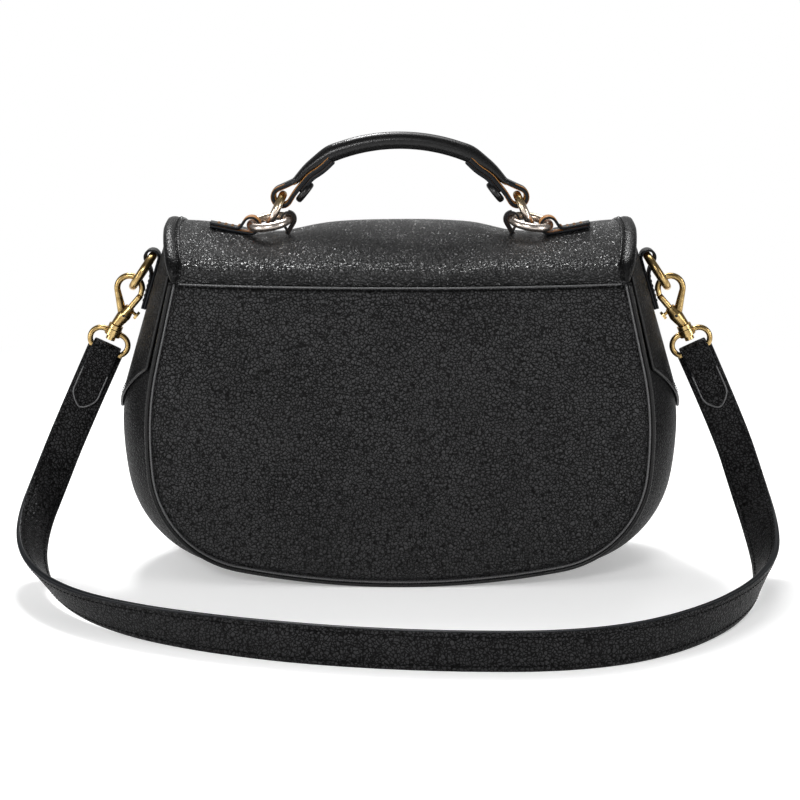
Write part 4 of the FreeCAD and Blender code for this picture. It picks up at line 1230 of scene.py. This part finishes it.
def make_handle_straps():
    """End straps that fold round the handle rings and run back under the grip."""
    wire, spread = seat(ring_top, ring_way, HANDLE_RING_RADIUS, HANDLE_STRAP_WIDTH)
    radius = RING_WIRE + METAL_GAP + spread + HANDLE_STRAP / 2
    there = [ring_top + Vector((x, 0, rise)) for x, rise in STRAP_THERE]
    back = [ring_top + Vector((x, 0, rise)) for x, rise in STRAP_BACK]
    path = loop_path(there, wire, radius, back)
    make_strip("handle_end_strap_leather", path, HANDLE_STRAP_WIDTH, HANDLE_STRAP, "handle",
               ["handle_end_strap"], TAB_SHADES, HANDLE_STRAP_ROUNDING, HANDLE_STRAP_SHEEN_SHARES)
    ply = beside(path, (HANDLE_STRAP + TAIL_PLY) / 2)[int(TAIL_PLY_FROM_SHARE * len(path)):]
    make_strip("handle_tail_ply", ply, HANDLE_STRAP_WIDTH - 2 * TAIL_PLY_IN, TAIL_PLY, "handle", [],
               KEEPER_SHADES, TAIL_PLY_ROUNDING)


make_grip()
make_handle_straps()

# Side tabs: each loop lies against the gusset and is stitched shut below its ring
SIDE_RING_TOP = 149.6
SIDE_RING_LEAN = 33.8
SIDE_TAB_LEATHER = 1.1
SIDE_TAB_WIDTH = 8.0
SIDE_TAB_END = 125.5
SIDE_TAB_PINCH = 7.5
SIDE_TAB_ROUNDING = 0.2
SIDE_TAB_SEWN_SHARES = (0.72, 0.97)
side_ring_way = polar(90 - SIDE_RING_LEAN)
side_out = polar(180 - BULGE[3])
side_offset, side_spread = seat(Vector(), side_ring_way, SIDE_RING_RADIUS, SIDE_TAB_WIDTH)
side_loop = RING_WIRE + METAL_GAP + side_spread + SIDE_TAB_LEATHER / 2
side_lift = SIDE_TAB_LEATHER / 2 + SEWN_GAP


def side_skin(height):
    """Point on the left patch at the middle of the gusset's depth."""
    half_width, _, side_r, lean = BULGE[:4]
    shoulder = Vector((half_width - side_r, 0, WIDEST_HEIGHT)) + polar(lean) * side_r
    across = (height - shoulder.z) * math.tan(math.radians(lean)) - shoulder.x - 2 * SEWN_GAP - PATCH_LEATHER
    return Vector((across, 0, height))


side_wire = side_skin(SIDE_RING_TOP) + side_out * (side_loop + side_lift)


def make_side_tabs():
    """Tabs on the gusset that hold the side rings."""
    up = Vector((side_out.z, 0, -side_out.x))
    low = side_skin(SIDE_TAB_END) + side_out * side_lift
    step = side_out * (SIDE_TAB_LEATHER + SEWN_GAP)
    pinch = side_wire - side_out * side_loop - up * SIDE_TAB_PINCH + step
    path = loop_path([low], side_wire, side_loop, [pinch, low + step])
    make_strip("ring_tab_leather", path, SIDE_TAB_WIDTH, SIDE_TAB_LEATHER, "bag", ["ring_tab"], DARK_SHADES,
               SIDE_TAB_ROUNDING)
    sew_strip("ring_tab_thread", path, SIDE_TAB_SEWN_SHARES, SIDE_TAB_WIDTH, SIDE_TAB_LEATHER, "bag", thread,
              SIDE_TAB_STITCH)


make_side_tabs()

# Snap hooks: the nose of each bolt, which closes on the hook's tip, its spring and the pin in its barrel
HOOK_RADIUS = 5.95
HOOK_SINK = Vector((1.7, 0.0, 1.0))
HOOK_TIP_ANGLE = -12.0
HOOK_TIP_RUN = 2.2
HOOK_WIRE = 1.5
BOLT_MOUTH = Vector((0.1, 0.0, -9.5))
BOLT_TAIL = 2.5
BOLT_TRAVEL = 4.5
BARREL_BELLY = 4.6
BARREL_RADIUS = 3.4
SPRING_ROOM = 0.5
SPRING_RADIUS = 1.05
SPRING_WIRE = 0.2
SPRING_TURNS = 5
SPRING_TURN_STEPS = 24
SPRING_SIDES = 8
# How far along its axis and how thick a turned piece is
NOSE_PROFILE = ((-0.3, 0.0), (-0.3, 1.35), (0.0, 1.5), (1.1, 1.5), (1.4, 1.3), (1.55, 0.95), (1.58, 0.0))
PIN_PROFILE = ((-0.6, 0.0), (-0.6, 0.7), (0.03, 0.7), (0.1, 0.55), (0.02, 0.3), (0.02, 0.0))
TURNED_SIDES = 24
TURNED_FROM = Vector((0.3, 0.5, 0.8))


def make_turned(name, start, way, profile, material, body):
    """Left and right piece turned about an axis."""
    aside = way.cross(TURNED_FROM).normalized()
    other = way.cross(aside)
    points = []
    for along, radius in profile:
        for c, s in round_section(1.0, TURNED_SIDES):
            points.append(start + way * along + (aside * c + other * s) * radius)
    faces = grid_faces(len(profile), TURNED_SIDES, True)
    made = []
    for label, side in SIDES:
        turned = faces if side > 0 else flipped(faces)
        made.append(piece(name + "_" + label, on_side(points, side), turned, material, body + "_" + label))
    return made


def make_springs(mouth, way):
    """Coil between the bolt's tail and the end of its bore, at one length; it is not pressed as the bolt
    slides in.
    """
    length = BOLT_TRAVEL + SPRING_ROOM
    begin = mouth - way * (BOLT_TAIL + length + SEWN_GAP)
    aside = way.cross(DEEP)
    steps = SPRING_TURN_STEPS * SPRING_TURNS
    path = []
    for i in range(steps + 1):
        turn = 2 * math.pi * SPRING_TURNS * i / steps
        spoke = DEEP * math.cos(turn) + aside * math.sin(turn)
        path.append(begin + way * mix(SPRING_WIRE, length - SPRING_WIRE, i / steps) + spoke * SPRING_RADIUS)
    made = []
    for label, side in SIDES:
        line = on_side(path, side)
        foot, axis = on_side([begin, way], side)
        ways = ways_along(line)
        out = [w.cross(axis).normalized() for w in ways]
        coil = sweep("bolt_spring_coil_" + label, line, [o.cross(w) for o, w in zip(out, ways)], out,
                     round_section(SPRING_WIRE, SPRING_SIDES), steel, "hook_" + label,
                     ["bolt_spring_" + label])
        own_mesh(coil)
        made.append(coil)
    return made


def make_bolt_trim():
    """Bolt noses, springs and barrel pins, placed from the side ring as the hooks are."""
    eye = side_wire - side_offset - side_ring_way * (2 * SIDE_RING_RADIUS) - HOOK_SINK
    hook_tip = eye + polar(HOOK_TIP_ANGLE) * HOOK_RADIUS + polar(HOOK_TIP_ANGLE - 90) * HOOK_TIP_RUN
    mouth = eye + BOLT_MOUTH
    way = (hook_tip - mouth).normalized()
    nose = hook_tip - way * (HOOK_WIRE + METAL_GAP)
    made = make_turned("bolt_nose", nose, way, NOSE_PROFILE, antique, "bolt")
    made += make_springs(mouth, way)
    face = mouth - way * BARREL_BELLY - DEEP * BARREL_RADIUS
    return made + make_turned("barrel_pin", face, -DEEP, PIN_PROFILE, stud_lacquer, "hook")


hook_pieces = make_bolt_trim()

# Shoulder strap: the route of the solids, in millimetres, and the way its outer edge faces at each point
STRAP_WIDTH = 17.5
STRAP_THICKNESS = 3.0
STRAP_ROUTE = (
    (-141.98, 1.9, 105.58), (-161.0, 1.9, 64.8), (-170.4, -8.5, 40.5), (-175.0, -25.5, 27.0),
    (-173.0, -49.0, 18.0), (-163.0, -75.5, 12.2), (-144.0, -100.5, 9.7), (-117.0, -121.5, 9.0),
    (-84.5, -137.5, 8.9), (-48.0, -149.8, 8.85), (-10.0, -157.8, 8.85), (28.0, -161.5, 8.85),
    (65.0, -161.3, 8.85), (97.0, -152.5, 8.85), (124.0, -134.0, 8.9), (147.0, -108.5, 9.3),
    (163.5, -81.0, 11.4), (171.3, -53.5, 15.7), (172.5, -27.5, 24.5), (168.3, -8.0, 41.0),
    (161.0, 1.9, 64.8), (141.98, 1.9, 105.58))
STRAP_EDGE_WAYS = (
    (-0.91, 0.0, 0.415), (-0.91, -0.02, 0.41), (-0.87, -0.13, 0.48), (-0.77, -0.28, 0.58),
    (-0.64, -0.36, 0.67), (-0.48, -0.38, 0.79), (-0.32, -0.35, 0.88), (-0.18, -0.22, 0.95),
    (-0.08, -0.1, 0.99), (0.0, 0.0, 1.0), (0.0, 0.0, 1.0), (0.0, 0.0, 1.0),
    (0.0, 0.0, 1.0), (0.0, 0.0, 1.0), (0.02, -0.02, 1.0), (0.1, -0.1, 0.99),
    (0.26, -0.18, 0.95), (0.55, -0.2, 0.81), (0.77, -0.14, 0.62), (0.87, -0.06, 0.48),
    (0.91, -0.02, 0.41), (0.91, 0.0, 0.415))
STRAP_SMOOTHNESS = 14
# Half of the strap's face from its edge to its middle, as (across, rise), with a dip for the stitches
STRAP_FACE = ((-8.4, -0.12), (-7.45, 0.0), (-7.0, 0.0), (-6.3, -0.18), (-5.6, 0.0), (-2.8, 0.1), (0.0, 0.14))
# Edge of the strap from its upper to its lower face, as (in, up): two plies with a groove between
STRAP_EDGE = ((0.0, 1.0), (0.0, 0.4), (0.35, 0.0), (0.0, -0.4), (0.0, -1.0))
STRAP_STITCH_OUT = 6.3
STRAP_STITCH_SINK = 0.1
STRAP_STITCH_ENDS = 6


def spline_points(route):
    """Points of the smooth line that the route controls, in millimetres."""
    data = bpy.data.curves.new("strap_line", "CURVE")
    data.dimensions = "3D"
    data.resolution_u = STRAP_SMOOTHNESS
    line = data.splines.new("NURBS")
    line.points.add(len(route) - 1)
    for spot, p in zip(line.points, route):
        spot.co = (*p, 1.0)
    line.order_u = 3
    line.use_endpoint_u = True
    holder = bpy.data.objects.new("strap_line", data)
    mesh = bpy.data.meshes.new_from_object(holder)
    points = [v.co.copy() for v in mesh.vertices]
    bpy.data.meshes.remove(mesh)
    bpy.data.curves.remove(data)
    return points


def strap_section():
    """Section of the strap, and a shade for each of its faces."""
    half = STRAP_WIDTH / 2
    thick = STRAP_THICKNESS / 2
    face = [(a, thick + b) for a, b in STRAP_FACE]
    face += [(-a, b) for a, b in reversed(face[:-1])]
    edge = [(half - a, b) for a, b in STRAP_EDGE]
    section = face[::-1] + [(-a, b) for a, b in edge] + [(a, -b) for a, b in face] + edge[::-1]
    return section, ([0] * (len(face) - 1) + [1] * (len(edge) + 1)) * 2


def strap_edge_ways(path, ways):
    """The way that the strap's outer edge faces at each point of its line."""
    route = [Vector(p) for p in STRAP_ROUTE]
    across = []
    k = 0
    for p, way in zip(path, ways):
        run = route[k + 1] - route[k]
        while k < len(route) - 2 and (p - route[k]).dot(run) > run.length_squared:
            k += 1
            run = route[k + 1] - route[k]
        share = unit((p - route[k]).dot(run) / run.length_squared)
        edge = Vector(STRAP_EDGE_WAYS[k]).lerp(Vector(STRAP_EDGE_WAYS[k + 1]), share)
        across.append((edge - way * edge.dot(way)).normalized())
    return across


def make_strap():
    """Strap along its smooth line, on its edge on the floor, with two rows of stitches on each face."""
    path = spline_points(STRAP_ROUTE)
    ways = ways_along(path)
    across = strap_edge_ways(path, ways)
    out = [w.cross(a).normalized() for w, a in zip(ways, across)]
    section, shades = strap_section()
    made = sweep("shoulder_strap", path, across, out, section, [strap_hide, painted_edge], "strap",
                 ["strap_drop_left", "strap_floor_run", "strap_drop_right"], shades)
    sewn = slice(STRAP_STITCH_ENDS, -STRAP_STITCH_ENDS)
    rows = []
    for side in (-1, 1):
        for face in (-1, 1):
            lift = face * (STRAP_THICKNESS / 2 - STRAP_STITCH_SINK)
            line = [p + a * (STRAP_STITCH_OUT * side) + o * lift for p, a, o in zip(path, across, out)]
            normals = [o * face for o in out[sewn]]
            rows.append(sew("strap_thread_%d%d" % (side + 1, face + 1), line[sewn], normals, "strap",
                            STRAP_STITCH))
    return made, path, rows


strap, strap_path, strap_threads = make_strap()

# Strap ends, folded over the bars of the swivel eyes, each with a pointed tail
BAR = Vector((-141.981, 0.0, 105.581))
SWIVEL_LEAN = 25.0
EYE_WIRE = 1.35
STRAP_END_LEATHER = 1.8
STRAP_END_WIDTH = 13.6
STRAP_END_ROUNDING = 0.4
STRAP_END_CROWN = 0.1
STRAP_END_COUNT = 110
STRAP_START = 7.0
STRAP_FOLD_RUN = 10.0
FOLD_TURN_STEPS = 16
FOLD_RUN_STEPS = 8
STRAP_TAIL = 32.0
STRAP_TAIL_POINT = 7.0
TAIL_ROUNDING_POWER = 0.75
TAIL_TIP_SHARE = 0.02
TAIL_BEND_SHARES = (0.6, 0.55)
TAIL_RIM = 0.45
TAIL_RIM_IN = 0.5
TAIL_RIM_COUNT = 90
TAIL_STITCH_IN = 2.2
TAIL_STITCH_FROM = 11.5
TAIL_STITCH_COUNT = 160
end_loop = EYE_WIRE + METAL_GAP + STRAP_END_LEATHER / 2
tail_level = STRAP_THICKNESS - (end_loop + STRAP_END_LEATHER / 2) + SEWN_GAP + STRAP_END_LEATHER / 2
tail_face = tail_level + STRAP_END_LEATHER / 2
end_down = polar(270 - SWIVEL_LEAN)


def strap_end_line():
    """Line of a strap end as (run, rise): from the strap round the bar and down to the tail's point."""
    turns = [math.pi * i / FOLD_TURN_STEPS for i in range(1, FOLD_TURN_STEPS + 1)]
    steps = [i / FOLD_RUN_STEPS for i in range(1, FOLD_RUN_STEPS + 1)]
    line = [(STRAP_START, -end_loop), (0.0, -end_loop)]
    line += [(-end_loop * math.sin(t), -end_loop * math.cos(t)) for t in turns]
    line += [(STRAP_FOLD_RUN * s, mix(end_loop, tail_level, (1 - math.cos(math.pi * s)) / 2)) for s in steps]
    return even([Vector(p) for p in line + [(STRAP_TAIL, tail_level)]], STRAP_END_COUNT)


def tail_line(inset, spread, side):
    """Line round the tail on its face, from one side of its root round the tip to the other."""
    half = STRAP_END_WIDTH / 2 - inset
    run = STRAP_TAIL - inset
    shoulder = STRAP_TAIL - STRAP_TAIL_POINT
    bend = mix(shoulder, run, TAIL_BEND_SHARES[0])
    edge = [(TAIL_STITCH_FROM, half), (shoulder, half), (bend, half * TAIL_BEND_SHARES[1])]
    flat = [(r, -a) for r, a in edge] + [(run, 0.0)] + edge[::-1]
    line = on_side([BAR + end_down * r + BACKWARD * tail_face for r, _ in flat], side)
    return softened([p + spread * a for p, (_, a) in zip(line, flat)])


def make_strap_end(label, side):
    """Narrowed end of the strap with the rim and the stitches of its tail."""
    flat = strap_end_line()
    path = on_side([BAR + end_down * run + BACKWARD * rise for run, rise in flat], side)
    lie = Vector((-end_down.x * side, end_down.y, end_down.z))
    spread = lie.cross(BACKWARD).normalized()
    out = [w.cross(spread).normalized() for w in ways_along(path)]
    left = [STRAP_TAIL - p.x if i > len(flat) // 3 else STRAP_TAIL for i, p in enumerate(flat)]
    widths = [min(1.0, max(TAIL_TIP_SHARE, run / STRAP_TAIL_POINT)) ** TAIL_ROUNDING_POWER for run in left]
    section, shades = strip_section(STRAP_END_WIDTH, STRAP_END_LEATHER, STRAP_END_ROUNDING, STRAP_END_CROWN)
    shades = [int(s in (1, 3, 4)) for s in shades]
    end = sweep("strap_end_leather_" + label, path, [spread] * len(path), out, section,
                [strap_hide, painted_edge], "strap", ["strap_end_" + label], shades, widths)
    line = even(tail_line(TAIL_RIM_IN, spread, side), TAIL_RIM_COUNT)
    across = [w.cross(BACKWARD).normalized() for w in ways_along(line)]
    # Pale rim round the tail: a painted highlight
    rim = sweep("strap_end_rim_" + label, line, across, [BACKWARD] * len(line),
                round_section(TAIL_RIM, RIM_SIDES), painted_highlight_hide, "strap")
    line = tail_line(TAIL_STITCH_IN, spread, side)
    line = even(line + line[:1], TAIL_STITCH_COUNT)
    sewn = sew("strap_end_thread_" + label, line, [BACKWARD] * len(line), "strap",
               TAIL_STITCH)
    return [end, rim, sewn]


strap_ends = [made for label, side in SIDES for made in make_strap_end(label, side)]

# Lining: a loose cloth bag inside
LINING_GAP = 0.3
LINING_PAD = GUSSET_WALL + LINING_GAP
LINING_TOP = POCKET_TOP - 2 * MOUTH_DROP
LINING_HALF_DEPTH = HALF_DEPTH - GUSSET_WALL
LINING_STATIONS = 25
LINING_ROUND = 91


def make_lining():
    """Cloth bag, open at the mouth; each end is closed by bands from side to side."""
    points = []
    for i in range(LINING_STATIONS):
        y = mix(-LINING_HALF_DEPTH, LINING_HALF_DEPTH, i / (LINING_STATIONS - 1))
        run = d_outline(body_sizes(y), WIDEST_HEIGHT, LINING_PAD, LINING_TOP, LINING_ROUND)
        points += [Vector((p.x, y, max(p.y, LINING_PAD))) for p in run]
    faces = flipped(grid_faces(LINING_STATIONS, LINING_ROUND))
    bands = LINING_ROUND // 2 - 1
    for first in (0, len(points) - LINING_ROUND):
        last = first + LINING_ROUND - 1
        ends = [(first + j, first + j + 1, last - j - 1, last - j) for j in range(bands)]
        ends.append((first + bands, first + bands + 1, first + bands + 2))
        faces += flipped(ends) if first else ends
    made = piece("lining_cloth_bag", points, faces, cloth, "bag", ["lining"])
    thicken(made, LINING_CLOTH, 1.0, CLOTH_ROUND)


make_lining()

# Metal and other pieces that keep their solids
SHARP_TURN = 38.0
KEPT_PAIRS = {
    antique: ("side_ring", "snap_hook", "snap_bolt", "swivel_eye"),
    painted_reflection_brass: ("handle_ring", "base_ring"),
    stud_lacquer: ("handle_stud",),
}
KEPT_SINGLY = (("closure_plate", steel), ("flap_magnet", steel), ("handle_core", cord_core))


def finish_node(name, material):
    """Give a solid its material and smooth its curved faces, with its sharp edges kept."""
    mesh = nodes[name].data
    mesh.materials.clear()
    mesh.materials.append(material)
    mesh.polygons.foreach_set("use_smooth", [True] * len(mesh.polygons))
    mesh.set_sharp_from_angle(angle=math.radians(SHARP_TURN))


for material, names in KEPT_PAIRS.items():
    for name in names:
        for label, _ in SIDES:
            finish_node(name + "_" + label, material)
for name, material in KEPT_SINGLY:
    finish_node(name, material)

# Camera, floor and light
CAMERA_PLACE = (0.0, -976.79, 294.72)
CAMERA_AIM = (0.0, 0.0, 80.5)
CAMERA_LENS = 92.78
CAMERA_SENSOR = 36.0
FLOOR_REACH = 6000.0
FLOOR_NEAR = 330.0
FLOOR_FAR = 620.0
FLOOR_LIFT = 0.3
WORLD_STRENGTH = 0.4
ROOM_STRENGTH = 0.12
BACKDROP_STRENGTH = 0.45
WHITE = (1, 1, 1, 1)
# Name, place, aim, width, height and power of each soft box
SOFT_BOXES = (
    ("soft_box_top", (60, 480, 1180), (0, 0, 100), 700, 450, 6.0),
    ("soft_box_sparkle", (-210, 640, 1100), (-85, -30, 160), 240, 160, 9.0),
    ("soft_box_front", (-300, -1200, 680), (0, 0, 90), 320, 200, 6.0),
    ("soft_box_left", (-1100, -650, 330), (0, 0, 90), 220, 800, 5.5),
    ("soft_box_right", (1100, -650, 330), (0, 0, 90), 220, 800, 5.5),
)


def put_aimed(name, data, place, aim):
    """Lamp or camera at a place in millimetres, turned to another."""
    made = put(name, data)
    made.location = Vector(place) * MM
    made.rotation_euler = (Vector(aim) - Vector(place)).to_track_quat("-Z", "Y").to_euler()
    return made


def brighter(tree, *links):
    """The larger of two values."""
    return add(tree, "ShaderNodeMath", [(i, source, output) for i, (source, output) in enumerate(links)],
               operation="MAXIMUM")


def floor_paint():
    """White studio floor: it keeps the shadow near the bag and is plain white further off."""
    made, tree, shader, place = new_material("white_floor")
    path = add(tree, "ShaderNodeLightPath")
    seen = brighter(tree, (path, "Is Camera Ray"), (path, "Is Glossy Ray"))
    seen = brighter(tree, (seen, "Value"), (path, "Is Transmission Ray"))
    away = add(tree, "ShaderNodeVectorMath", [(0, place, "Object")], operation="LENGTH")
    far = add(tree, "ShaderNodeMapRange", [("Value", away, "Value")],
              {"From Min": FLOOR_NEAR * MM, "From Max": FLOOR_FAR * MM}, interpolation_type="SMOOTHSTEP")
    lift = add(tree, "ShaderNodeMath", [(0, seen, "Value")], {1: FLOOR_LIFT}, operation="MULTIPLY")
    join(tree, shader, [("Emission Strength", lift, "Value")],
         {"Base Color": linear("#f2f2f2"), "Roughness": 0.9, "Specular IOR Level": 0.0,
          "Emission Color": WHITE})
    white = add(tree, "ShaderNodeEmission", (), {"Color": WHITE, "Strength": 1.0})
    share = add(tree, "ShaderNodeMath", [(0, far, "Result"), (1, seen, "Value")], operation="MULTIPLY")
    both = add(tree, "ShaderNodeMixShader",
               [(0, share, "Value"), (1, shader, "BSDF"), (2, white, "Emission")])
    join(tree, tree.nodes["Material Output"], [("Surface", both, "Shader")])
    return made


def make_world():
    """White surround; in reflections only the backdrop behind the bag is white and the room is dim."""
    world = bpy.data.worlds.new("studio")
    bpy.context.scene.world = world
    world.use_nodes = True
    tree = world.node_tree
    path = add(tree, "ShaderNodeLightPath")
    place = add(tree, "ShaderNodeTexCoord")
    way = add(tree, "ShaderNodeSeparateXYZ", [("Vector", place, "Generated")])
    back = add(tree, "ShaderNodeMapRange", [("Value", way, "Y")],
               {"From Min": 0.4, "From Max": 0.85, "To Min": ROOM_STRENGTH, "To Max": BACKDROP_STRENGTH},
               interpolation_type="SMOOTHSTEP")
    mirrored = brighter(tree, (path, "Is Glossy Ray"), (path, "Is Transmission Ray"))
    plain = add(tree, "ShaderNodeMix", [("Factor", mirrored, "Value"), ("B", back, "Result")],
                {"A": WORLD_STRENGTH})
    level = add(tree, "ShaderNodeMix", [("Factor", path, "Is Camera Ray"), ("A", plain, "Result")],
                {"B": 1.0})
    join(tree, tree.nodes["Background"], [("Strength", level, "Result")], {"Color": WHITE})


def make_stage():
    """Camera at the photograph's angle, white floor and soft boxes."""
    lens = bpy.data.cameras.new("camera")
    lens.lens = CAMERA_LENS
    lens.sensor_width = CAMERA_SENSOR
    bpy.context.scene.camera = put_aimed("camera", lens, CAMERA_PLACE, CAMERA_AIM)
    bpy.context.scene.view_settings.view_transform = "Standard"
    mesh = bpy.data.meshes.new("floor")
    reach = FLOOR_REACH * MM
    corners = [(-reach, -reach, 0), (reach, -reach, 0), (reach, reach, 0), (-reach, reach, 0)]
    mesh.from_pydata(corners, [], [(0, 1, 2, 3)])
    mesh.materials.append(floor_paint())
    put("floor", mesh)
    for name, place, aim, width, height, power in SOFT_BOXES:
        lamp = bpy.data.lights.new(name, "AREA")
        lamp.shape = "RECTANGLE"
        lamp.size = width * MM
        lamp.size_y = height * MM
        lamp.energy = power
        put_aimed(name, lamp, place, aim)
    make_world()


make_stage()
